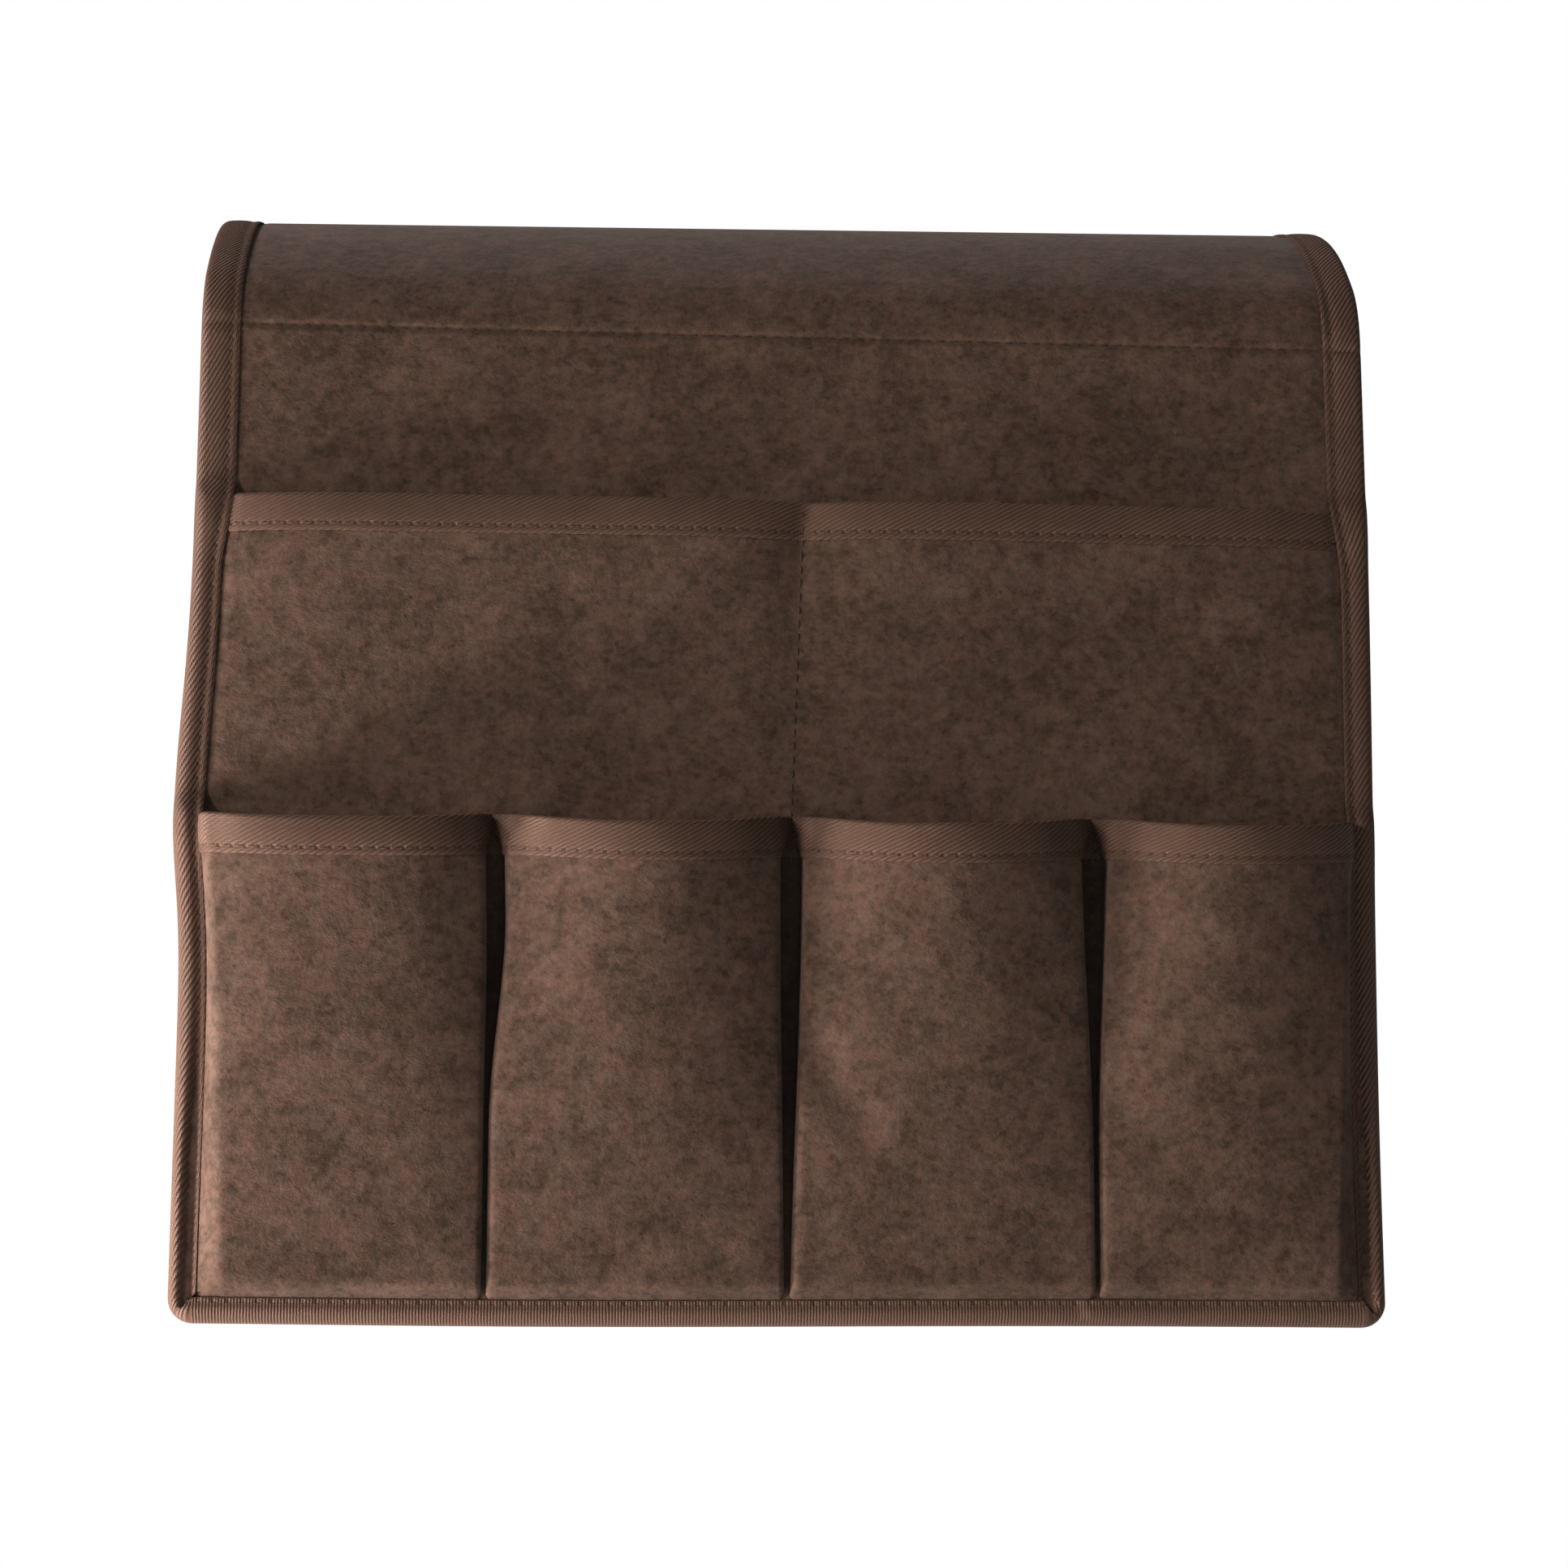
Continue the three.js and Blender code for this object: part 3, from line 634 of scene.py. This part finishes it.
def tape_finish():
    """Twill tape: slanting ribs, the dents of the stitch holes, and a firm pale selvedge; the holes and the
    groove of the stitch line are darkened with painted shade. The map weave counts ribs along and
    millimetres across, the map run counts stitches and says how strongly the ribs show, and the map pleat
    says how deep in a pleat it lies, where painted shade darkens it towards near black"""
    made = Finish("binding_tape", roughness=0.55, shine=0.36, sheen=0.05, sheen_tint=(0.95, 0.62, 0.48))
    ribs = made.from_map("weave")
    width = made.from_map("weave", 1)
    stitches = made.from_map("run")
    strength = made.from_map("run", 1)
    place = made.place()
    wander = made.noise(place, 260, detail=2)
    ridge = made.wave(ribs + 0.5 * wander)
    yarn = made.wave(ribs * 0.37 + width * 2.6)
    near = made.maths("PINGPONG", stitches, 0.5)
    off_line = made.maths("ABSOLUTE", width - stitch_from_lip / MM)
    at_hole = made.step(near, 0.20, 0.06) * made.step(off_line, 0.75, 0.25)
    groove = made.step(off_line, 0.8, 0.2)
    selvedge = made.step(width, 0.7, 0.35)
    lip = made.step(width, stitch_from_lip / MM, stitch_from_lip / MM - 0.6)
    blotches = made.noise(place, 120, detail=3, roughness=0.6)
    lint = made.noise(place, 1500, detail=3, roughness=0.7)
    ribbed = ridge * strength * (1 - 0.5 * lip) + 0.5 * (1 - strength)
    light = 0.05 + 0.42 * ribbed - 0.06 * lip + 0.10 * yarn + 0.05 * selvedge
    light = light + 0.3 * (blotches - 0.5) + 0.28 * (lint - 0.5)
    # Painted shade: the tape is darkened in the groove along the stitch line and in the stitch holes, where
    # shade falls
    light = light * (1 - 0.25 * groove) * (1 - 0.6 * at_hole)
    colour = made.mixed(light, (0.032, 0.0200, 0.0144, 1), (0.125, 0.0762, 0.0530, 1))
    # Painted shade: deep in the pleats the tape is mixed towards near black too
    colour = made.mixed(made.from_map("pleat"), colour, pleat_shadow)
    relief = 0.85 * ridge * strength * (1 - 0.5 * lip) + 0.15 * yarn + 0.2 * lint - 0.5 * at_hole
    return made.finished(colour, relief, 0.42 * MM)


tape_look = tape_finish()


def with_back(section):
    """Outer and inner faces of a tape from its outer section, a row of places in and up"""
    step = np.gradient(section, axis=0)
    length = np.linalg.norm(step, axis=1, keepdims=True)
    normal = np.stack([step[:, 1], -step[:, 0]], axis=1) / length
    return section, section - tape * normal


def run_along(section):
    """Distance along a section from its first point"""
    steps = np.linalg.norm(np.diff(section, axis=0), axis=1)
    return np.concatenate([[0], np.cumsum(steps)])


def mouth_section(depth):
    """Half round over the edge of the felt, with a flat lip on each side. Places are the drop
    from the mouth and the height above the middle of the felt"""
    out = felt / 2 + tape + tape_gap
    front = spread(depth, 0, 0.7 * MM)
    height = out + 0.18 * MM * np.sin(math.pi * np.clip(front / depth, 0, 1))
    height = height - 0.18 * MM * hill(front, depth - stitch_from_lip, 0.6 * MM, 0.6 * MM)
    height = height - 0.30 * MM * ramp(front, depth - 0.5 * MM, depth)
    turn = np.linspace(0, math.pi, 10)[1:-1]
    nose = np.stack([-out * 0.8 * np.sin(turn), out * np.cos(turn)], axis=1)
    front_lip = np.stack([front, height], axis=1)
    back_lip = np.stack([np.linspace(0, depth, 8), np.full(8, -out)], axis=1)
    return np.concatenate([front_lip, nose, back_lip])


def mouth_tape(row, middle, drop, reach, depth):
    """A folded tape over the mouth of a row of pockets; depth gives the share of painted shade in the pleats
    """
    outer, inner = with_back(mouth_section(reach))
    faces = []
    for section in (outer, inner):
        faces.append(np.stack([sheet_points(middle, drop + place, above) for place, above in section]))
    width = run_along(outer)[:, None]
    run = run_along(faces[0][0])
    ribs = (width * math.cos(rib_slant) - run * math.sin(rib_slant)) / rib_pitch
    deep = np.stack([depth(drop + place) for place in outer[:, 0]])
    maps = {"weave": uv(ribs, width / MM), "run": uv(run / stitch_pitch, 1), "pleat": uv(deep, 0)}
    piece = cloth(row + "_mouth_tape", tape_look, faces[0], faces[1], maps)
    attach(piece, "front_flap")
    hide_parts(row + "_pocket_binding")
    return piece


upper_tape = mouth_tape("upper", upper_middle, upper_mouth, upper_tape_depth, no_pleat_shade)


# The lower pocket strip: felt cut wider than the flap and pleated at three seams, so that its
# four pockets stand open. Each face is crowned, and its sides fold back to the seams.
strip_base = 2 * layer + felt / 2
pleat_height = 9.5 * MM
hem_fold_height = 4.5 * MM
crowns = [(7.0 * MM, 2.8), (12.5 * MM, 2.0), (13.5 * MM, 2.0), (12.5 * MM, 2.0)]
crown_lean = 1.08
lower_end = flap_length - hem_reach
pleats = [
    {"apex": -82.0 * MM, "left": (-84.7 * MM, -85.0 * MM), "right": (-77.2 * MM, -81.5 * MM),
     "open": (0.35, 0.8)},
    {"apex": 2.6 * MM, "left": (-2.0 * MM, -0.9 * MM), "right": (6.4 * MM, 2.6 * MM),
     "open": (-0.15, 0.9)},
    {"apex": 88.2 * MM, "left": (83.5 * MM, 86.4 * MM), "right": (93.2 * MM, 89.9 * MM),
     "open": (0.25, 1.0)},
]
side_rim = [(-161.0 * MM, -155.6 * MM), (161.6 * MM, 155.8 * MM)]
left_fold_radius = 4.2 * MM
right_fold_radius = 1.6 * MM
seam_fold_radius = 0.8 * MM
pinch_length = 12 * MM
pleat_span = 120 * MM
face_shares = np.linspace(0, 1, 27)[1:-1]


def pinch(drop):
    """How far the pleats are sewn shut: 1 at the mouth, 0 a little below it"""
    return float(1 - np.clip((drop - lower_mouth) / pinch_length, 0, 1))


def opened_at(drop):
    """How far the pockets stand open: 1 at the mouth, 0 at the hem"""
    return float(np.clip((lower_end - drop) / (lower_end - lower_mouth), 0, 1))


def fold_rise(drop):
    """How far the folds beside the pleats stand out from the seams"""
    at_hem = hem_fold_height * float(ramp(lower_end - drop, 0, 4 * MM))
    return at_hem + (pleat_height - hem_fold_height) * opened_at(drop)


def between(pair, opened):
    """From a pocket's mouth, the first of the pair, to its hem"""
    return pair[1] + (pair[0] - pair[1]) * opened


def pleat_places(pleat, drop):
    """Places across of a pleat: its left fold, the left and right ends of its bottom, which
    meet at the mouth, and its right fold"""
    closed = float(ramp(opened_at(drop), *pleat["open"]))
    left, right = between(pleat["left"], closed), between(pleat["right"], closed)
    shut = pinch(drop)
    low_left = left + 0.2 * MM + shut * (pleat["apex"] - left - 0.6 * MM)
    low_right = right - 0.2 * MM + shut * (pleat["apex"] - right + 0.6 * MM)
    return left - 2.6 * MM * shut, low_left, low_right, right + 2.4 * MM * shut


def pleat_seam(pleat, drop):
    """Where the seam lies in the bottom of a pleat"""
    return sum(pleat_places(pleat, drop)[1:3]) / 2


def rounded(points, radii, steps=6):
    """The outline with each corner rounded, with the same number of points at any drop"""
    curve = [points[0]]
    for before, corner, after, radius in zip(points, points[1:], points[2:], radii[1:]):
        if radius == 0:
            curve.append(corner)
            continue
        to_before, to_after = before - corner, after - corner
        near = corner + to_before * min(0.48, radius / np.linalg.norm(to_before))
        far = corner + to_after * min(0.48, radius / np.linalg.norm(to_after))
        for share in np.linspace(0, 1, steps):
            curve.append((1 - share) ** 2 * near + 2 * share * (1 - share) * corner + share**2 * far)
    curve.append(points[-1])
    return np.array(curve)


def lower_outline(drop):
    """Outline across the strip at a drop: places across and heights of the middle of the felt"""
    opened = opened_at(drop)
    base = strip_base + tape_layer * float(mouth_tapes(drop)) * (drop < lower_mouth + 40 * MM)
    rise = fold_rise(drop)
    half = float(felt_half_width(drop))
    edge = organizer_half - float(tape_reach(drop)) - 0.3 * MM
    shut = pinch(drop)
    low_fold = 0.25 * shut
    tight = 0.4 + 0.6 * opened
    places = [pleat_places(pleat, drop) for pleat in pleats]
    starts = [(-edge, between(side_rim[0], opened), 3 * MM)]
    starts += [(low_right, right_fold, left_fold_radius * tight) for _, _, low_right, right_fold in places]
    ends = [(low_left, left_fold) for left_fold, low_left, _, _ in places]
    ends += [(edge, between(side_rim[1], opened))]
    points, radii = [np.array([-half, base])], [0]
    for (low_start, start, radius), (low_end, end), (height, power) in zip(starts, ends, crowns):
        points += [np.array([low_start, base]), np.array([start, base + rise * (1 - low_fold)])]
        radii += [seam_fold_radius, radius]
        for share in face_shares:
            crown = height * opened**1.2 * round_front(share**crown_lean, power)
            low = low_fold * (1 - ramp(share, 0, 0.15) + ramp(share, 0.88, 1))
            points.append(np.array([start + (end - start) * share, base + rise * (1 - low) + crown]))
            radii.append(0)
        points += [np.array([end, base + rise * (1 - low_fold)]), np.array([low_end, base])]
        radii += [(right_fold_radius + 2.0 * MM * shut) * tight, seam_fold_radius]
    points.append(np.array([half, base]))
    radii.append(0)
    return rounded(points, radii)


def pleat_shade_share(drop):
    """How much painted shade each place of the outline gets from how deep in a pleat it lies: 0 on the
    faces, and at the bottom 1 near the hem and less near the mouth, where more light comes in"""
    across, height = lower_outline(drop).T
    top = strip_base + fold_rise(drop)
    deep = ramp(top - height, 1.6 * MM, 7 * MM) * (np.abs(across) < pleat_span)
    return deep * (1 - 0.25 * opened_at(drop))


def lower_dents(across, drop):
    """Dents and creases of the lower pockets: a soft slanting dent in the third, a small
    upright crease in the second, one beside the first seam, and a slack place in the third"""
    line = across - 15 * MM - (drop - 223 * MM) * 0.56
    dent = 2.2 * MM * hill(line, 0, 7 * MM, 5 * MM) * hill(drop, 223 * MM, 24 * MM, 22 * MM)
    crease = 1.4 * MM * hill(across, -8 * MM, 4.5 * MM, 2.5 * MM) * hill(drop, 272 * MM, 13 * MM, 9 * MM)
    nip = 1.0 * MM * hill(across, -86.5 * MM, 2 * MM, 1.5 * MM) * hill(drop, 281 * MM, 6 * MM, 4 * MM)
    slump = 0.9 * MM * hill(across, 55 * MM, 18 * MM, 22 * MM) * hill(drop, 240 * MM, 30 * MM, 25 * MM)
    return crease + nip - dent - slump


def lower_middle(drop):
    """The middle of the felt of the lower strip at a drop: across, real drop and height"""
    across, height = lower_outline(drop).T
    raised = (height - strip_base) / (pleat_height + crowns[1][0])
    fade = float(1 - ramp(drop, lower_mouth, lower_mouth + 70 * MM))
    sag = 6.4 * MM * np.clip(raised, 0, 1) ** 1.3 * fade
    return across, drop + sag, height + lower_dents(across, drop) * min(1.0, 3 * opened_at(drop))


lower_drops = joined(
    spread(lower_mouth, lower_mouth + 15 * MM, 1 * MM),
    spread(lower_mouth + 15 * MM, lower_end - 10 * MM, 2.4 * MM),
    spread(lower_end - 10 * MM, corner_drops[0], 1.4 * MM),
    corner_drops,
)
lower_strip = pocket_sheet(
    "lower_pocket_strip", "lower_pocket_panel", lower_middle, lower_drops, pleat_shade_share
)


# The tape on the mouth of the lower pockets: the same tape in one length, sewn on before the
# strip was pleated, so it turns into every pleat with the felt.
lower_tape = mouth_tape("lower", lower_middle, lower_mouth, lower_tape_depth, pleat_shade_share)


# The tape round the whole edge of the organizer: 20 mm twill tape folded over the layers of felt. At the two
# lower corners it is folded into a mitre. It is made in a front and a rear length, which meet in the middle
# of the top.
tape_station = 1.45 * MM
corner_steps = 15
hem_rib_pitch = 0.86 * MM
rear_reach = 9.5 * MM
hem_run = fold_run + flap_length
a_little = 1 * MM
lip_shares = np.array([0, 0.03, 0.07, 0.12, 0.18, 0.25, 0.33, 0.41, 0.5, 0.6, 0.7, 0.8, 0.9, 1])


def edge_stations():
    """The run of the edge tape from the middle of the top down the left side, along the hem
    and up the right side: each station's side, angle of the corner's turn, and place"""
    corner = hem_run - corner_radius
    down = spread(0, corner, tape_station)
    turn = np.linspace(0, math.pi / 2, corner_steps)
    flat = spread(-organizer_half + corner_radius, organizer_half - corner_radius, tape_station)
    stations = [(-1, 0.0, place) for place in down[:-1]]
    stations += [(-1, angle, corner) for angle in turn[:-1]]
    stations += [(0, math.pi / 2, across) for across in flat]
    stations += [(1, angle, corner) for angle in turn[::-1][1:]]
    stations += [(1, 0.0, place) for place in down[::-1][1:]]
    return stations


def edge_place(station, inset):
    """Across and along at an inset from the outer edge of the tape"""
    side, angle, place = station
    if side == 0:
        free = organizer_half - inset
        return np.clip(place, -free, free), hem_run - inset
    centre = organizer_half - corner_radius
    out = np.maximum(corner_radius - inset, 0)
    past = np.maximum(inset - corner_radius, 0)
    across = centre + out * math.cos(angle) - past
    if angle > 0:
        return side * across, hem_run - corner_radius + out * math.sin(angle) - past
    return side * across, np.minimum(place, hem_run - np.maximum(inset, corner_radius))


def lap_joint(station, inset, way):
    """The ends of the edge tape overlap on the hem, where the upper end makes a small step"""
    side, _, place = station
    if side != 0 or way > 0:
        return 0 * inset
    rise = ramp(place + 0.3 * (inset - 3 * MM), 83.6 * MM, 85.0 * MM)
    return 0.6 * MM * rise * (1 - ramp(place, 87 * MM, 120 * MM)) * ramp(inset, 0, 1.5 * MM)


def edge_section(thick, reach, to_line):
    """Section of the edge tape from the lip on the outside, over the edge, to the lip on the
    back: insets from the outer edge and heights above the underside of the felt"""
    top = thick + tape + tape_gap
    low = -tape - tape_gap
    nose = 2.4 * MM + 0.25 * (thick - felt)
    flat = reach + (nose - reach) * lip_shares
    puff = 0.25 * MM * np.sin(math.pi * np.clip((reach - to_line - flat) / (reach - to_line), 0, 1))
    upper = top + puff - 0.42 * MM * ramp(flat, reach - 0.7 * MM, reach)
    angle = np.linspace(math.pi / 2, -math.pi / 2, 17)[1:-1]
    round_x = nose - nose * np.abs(np.cos(angle)) ** 0.9
    end = top + puff[-1]
    round_y = (end + low) / 2 + (end - low) / 2 * np.sign(np.sin(angle)) * np.abs(np.sin(angle)) ** 0.9
    back = np.linspace(nose, reach, 7)
    inset = np.concatenate([flat, round_x, back])
    return np.stack([inset, np.concatenate([upper, round_y, np.full(7, low)])], axis=1)


def station_drop(station):
    """The drop that the section of the tape at a station is made for"""
    side, angle, place = station
    if side == 0:
        return flap_length - 4 * MM
    if angle > 0:
        return flap_length - corner_radius + corner_radius * math.sin(angle) / 2
    return place - fold_run


def edge_tape(name, way, *nodes):
    """One half of the edge tape, the row of points where its stitches lie, and the same row a
    little higher"""
    stations = edge_stations()
    on_hem = np.sin([angle for _, angle, _ in stations])
    grids = {"outer": [], "inner": [], "line": [], "above": [], "width": []}
    for station, share in zip(stations, on_hem):
        drop = station_drop(station)
        side_reach = float(tape_reach(drop)) if way < 0 else rear_reach
        reach = side_reach + (hem_reach - side_reach) * share
        to_line = stitch_from_lip + (hem_stitch_from_lip - stitch_from_lip) * share
        thick = float(stack(drop)) if way < 0 else felt
        section = edge_section(thick, reach, to_line)
        section[:, 0] = np.maximum(section[:, 0], 0)
        outer, inner = with_back(section * (-1, 1))
        grids["width"].append(run_along(outer) + stitch_from_lip - to_line)
        for key, face in (("outer", outer), ("inner", inner)):
            across, along = edge_place(station, -face[:, 0])
            lap = lap_joint(station, -face[:, 0], way) * (face[:, 1] > 0)
            grids[key].append(drape(across, along, face[:, 1] + lap, way))
        line = np.array([reach - to_line])
        across, along = edge_place(station, line)
        height = thick + tape + lap_joint(station, line, way)
        grids["line"].append(drape(across, along, height, way)[0])
        grids["above"].append(drape(across, along, height + a_little, way)[0])
    outer, inner, width = (np.stack(grids[key], axis=1) for key in ("outer", "inner", "width"))
    line, above = np.array(grids["line"]), np.array(grids["above"])
    run = run_along(line)
    slant = rib_slant + (math.pi / 2 - rib_slant) * on_hem
    pitch = rib_pitch + (hem_rib_pitch - rib_pitch) * on_hem
    crossing = np.sin(slant) / pitch
    crossed = np.concatenate([[0], np.cumsum(np.diff(run) * (crossing[1:] + crossing[:-1]) / 2)])
    ribs = width * np.cos(slant) / pitch - crossed
    maps = {"weave": uv(ribs, width / MM), "run": uv(run / stitch_pitch, 1 - 0.6 * on_hem)}
    piece = cloth(name, tape_look, outer, inner, maps)
    bends(piece, way)
    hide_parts(*nodes)
    return piece, line, above


front_edge, *front_line = edge_tape("front_edge_tape", -1, "front_edge_binding", "top_binding_left")
rear_edge, *rear_line = edge_tape("rear_edge_tape", 1, "rear_edge_binding", "top_binding_right")


# The sewing threads: dark brown polyester in machine stitches of 4 mm, pulled down into the
# tape and the felt.
thread = 0.55 * MM
stitch_length = 2.9 * MM


def thread_finish():
    """Twisted thread with a slight shine"""
    made = Finish("sewing_thread", roughness=0.6, shine=0.15, sheen=0.1, sheen_tint=(0.8, 0.7, 0.6))
    plies = made.noise(made.place(), 1800, detail=2)
    colour = made.mixed(plies, (0.015, 0.010, 0.0075, 1), (0.042, 0.027, 0.020, 1))
    return made.finished(colour, plies, 0.08 * MM)


thread_look = thread_finish()


def stitch_shape(made, size):
    """One stitch: a short thread that comes up out of the cloth and goes down into it"""
    half = size("Half length", stitch_length / 2)
    depth = size("Depth", -0.32 * MM)
    rise = size("Rise", 0.42 * MM)
    back = made("ShaderNodeMath", {"operation": "MULTIPLY"}, {0: half, 1: -1.0})
    start = made("ShaderNodeCombineXYZ", {}, {"X": back, "Z": depth})
    middle = made("ShaderNodeCombineXYZ", {}, {"Z": rise})
    end = made("ShaderNodeCombineXYZ", {}, {"X": half, "Z": depth})
    bend = {"Resolution": 6, "Start": start, "Middle": middle, "End": end}
    line = made("GeometryNodeCurveQuadraticBezier", {}, bend)
    round_thread = {"Resolution": 6, "Radius": size("Thickness", thread / 2)}
    ring = made("GeometryNodeCurvePrimitiveCircle", {}, round_thread)
    return made("GeometryNodeCurveToMesh", {}, {"Curve": line, "Profile Curve": ring, "Fill Caps": True})


def stitched(name, row, above, *nodes):
    """A row of stitches on a row of points; above is the same row a little higher"""
    run = run_along(row)
    middles = (np.arange(int(run[-1] / stitch_pitch)) + 0.5) * stitch_pitch

    def place(points, at):
        return np.stack([np.interp(at, run, points[:, axis]) for axis in range(3)], axis=1)

    middle = place(row, middles)
    heading = place(row, middles + 0.6 * MM) - place(row, middles - 0.6 * MM)
    facing = place(above, middles) - middle
    piece = repeated(name, thread_look, middle, facing, heading, stitch_shape)
    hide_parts(*nodes)
    return piece


front_stitches = stitched("front_edge_stitches", *front_line, "front_edge_thread", "top_edge_thread_left")
bends(front_stitches, -1)
rear_stitches = stitched("rear_edge_stitches", *rear_line, "rear_edge_thread", "top_edge_thread_right")
bends(rear_stitches, 1)

seam_across = spread(-158 * MM, 158 * MM, 2 * MM)
seam_along = fold_run + fold_seam(seam_across)
for way, flap in ((-1, "front"), (1, "rear")):
    row = drape(seam_across, seam_along, felt, way)
    above = drape(seam_across, seam_along, felt + a_little, way)
    bends(stitched(flap + "_seam_stitches", row, above, flap + "_seam_thread"), way)


mouth_stitch_height = felt / 2 + tape - 0.18 * MM
upper_lip = upper_mouth + upper_tape_depth
lower_lip = lower_mouth + lower_tape_depth
for mouth, middle, lip in (("upper", upper_middle, upper_lip), ("lower", lower_middle, lower_lip)):
    row = sheet_points(middle, lip - stitch_from_lip, mouth_stitch_height)
    above = sheet_points(middle, lip - stitch_from_lip, mouth_stitch_height + a_little)
    mouth_stitches = stitched(mouth + "_mouth_stitches", row, above, mouth + "_mouth_thread")
    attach(mouth_stitches, "front_flap")


# A seam runs in the bottom between two pockets, so height counts far more than nearness
bottom_first = 1000


def seam_stitches(name, node, middle, mouth, seam, sunk):
    """Stitches down a seam that joins a pocket sheet to the felt behind it, sunk into it"""
    row, above = [], []
    for drop in spread(mouth + 1 * MM, lower_end, 2 * MM):
        across, real_drop, height = middle(drop)
        place = float(seam(drop))
        at = np.argmin(np.abs(across - place) + bottom_first * (height - height.min()))
        lift = height[at] + felt / 2 + tape * float(mouth_tapes(drop) > 0.6) - sunk
        row.append(drape(place, fold_run + real_drop[at], lift))
        above.append(drape(place, fold_run + real_drop[at], lift + a_little))
    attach(stitched(name, np.array(row), np.array(above), node), "front_flap")


seam_stitches(
    "center_seam_stitches", "center_seam_thread", upper_middle, upper_mouth, upper_seam_place, sunk=0
)
for side, pleat in zip(("left", "center", "right"), pleats):
    seam_stitches(
        "pleat_seam_stitches_" + side, "pleat_seam_thread_" + side, lower_middle, lower_mouth,
        lambda drop, pleat=pleat: pleat_seam(pleat, drop), sunk=0.24 * MM,
    )


# The cut sizes of the felt halves and of the grip lining, before they were sewn and hung. The strip, whose
# size isn't worked out here, is as wide as its outline is long: four faces, and two sides and a bottom in
# each pleat.
half_cut = (2 * (organizer_half - felt_inset), fold_run + sheet_end)
lining_cut = (2 * lining_half, 2 * fold_run)


# The room: a pale floor at the height of a sofa, a white backdrop, and soft studio light. A
# lamp near the left side, below the mouths, rakes over the pockets. Two more stand further
# off to the left, one of them a little behind the face, and a weak one fills from the front.
floor_height = -0.62
floor_size = 2.6
face_middle = Vector((0, -0.145, -0.19))


def soft_light(name, heading, height, distance, size, brightness, colour):
    """A round soft light that faces the middle of the flap. heading turns from far left, 0
    degrees, to straight in front, 90, and height is degrees above level. brightness is what
    it gives a white card there"""
    heading, height = math.radians(heading), math.radians(height)
    level = math.cos(height)
    out = Vector((-math.cos(heading) * level, -math.sin(heading) * level, math.sin(height)))
    lamp = bpy.data.lights.new(name, "AREA")
    lamp.shape = "DISK"
    lamp.size = size
    lamp.energy = brightness * (math.pi * distance) ** 2
    lamp.color = colour
    light = placed(name, lamp)
    light.location = face_middle + out * distance
    light.rotation_euler = out.to_track_quat("Z", "Y").to_euler()


# The floor is pale and matt
pale = Finish("floor", roughness=0.9, shine=0.5, sheen=0.0, sheen_tint=(1, 1, 1))
pale.shader.inputs["Base Color"].default_value = (0.8, 0.8, 0.8, 1)
floor_mesh = bpy.data.meshes.new("floor")
half_floor = floor_size / 2
floor_corners = [(x * half_floor, y * half_floor, 0) for x, y in ((-1, -1), (1, -1), (1, 1), (-1, 1))]
floor_mesh.from_pydata(floor_corners, [], [(0, 1, 2, 3)])
floor_mesh.materials.append(pale.material)
floor = placed("floor", floor_mesh)
floor.location = (0, 0, floor_height)

world = bpy.data.worlds.new("studio")
world.use_nodes = True
bpy.context.scene.world = world
studio = world.node_tree
sky = studio.nodes["Background"]
sky.inputs["Color"].default_value = (0.96, 0.98, 1, 1)
sky.inputs["Strength"].default_value = 0.12
backdrop = new_node(studio, "ShaderNodeBackground", {}, {"Color": (1, 1, 1, 1), "Strength": 1.0})
seen = new_node(studio, "ShaderNodeLightPath", {}, {}, "Is Camera Ray")
either = new_node(studio, "ShaderNodeMixShader", {}, {0: seen, 1: sky.outputs[0], 2: backdrop})
studio.links.new(either, studio.nodes["World Output"].inputs["Surface"])

warm = (1, 0.86, 0.82)
neutral = (1, 1, 1)
soft_light("rim", -8, 22, 3.0, 0.7, 1.05, warm)
soft_light("low_left", 12, -24, 0.6, 0.12, 2.75, warm)
soft_light("left", 30, 12, 3.0, 0.7, 0.95, warm)
soft_light("front", 92, 0, 3.0, 1.3, 0.22, neutral)
bpy.context.scene.view_settings.view_transform = "Standard"

# The camera stands in front of the flap, a little below its middle, and looks slightly up. Its
# pitch is counted from straight down.
camera_place = (-0.054, -1.299, -0.2435)
camera_yaw = math.radians(2.70)
camera_pitch = math.radians(90 + 3.27)
camera_roll = math.radians(0.42)
image_width = 1932
focal_pixels = 4984
lens = bpy.data.cameras.new("camera")
lens.sensor_width = 36
lens.lens = lens.sensor_width * focal_pixels / image_width
camera = placed("camera", lens)
turned = Matrix.Rotation(-camera_yaw, 4, "Z") @ Matrix.Rotation(camera_pitch, 4, "X")
camera.matrix_world = Matrix.Translation(camera_place) @ turned @ Matrix.Rotation(camera_roll, 4, "Z")
bpy.context.scene.camera = camera
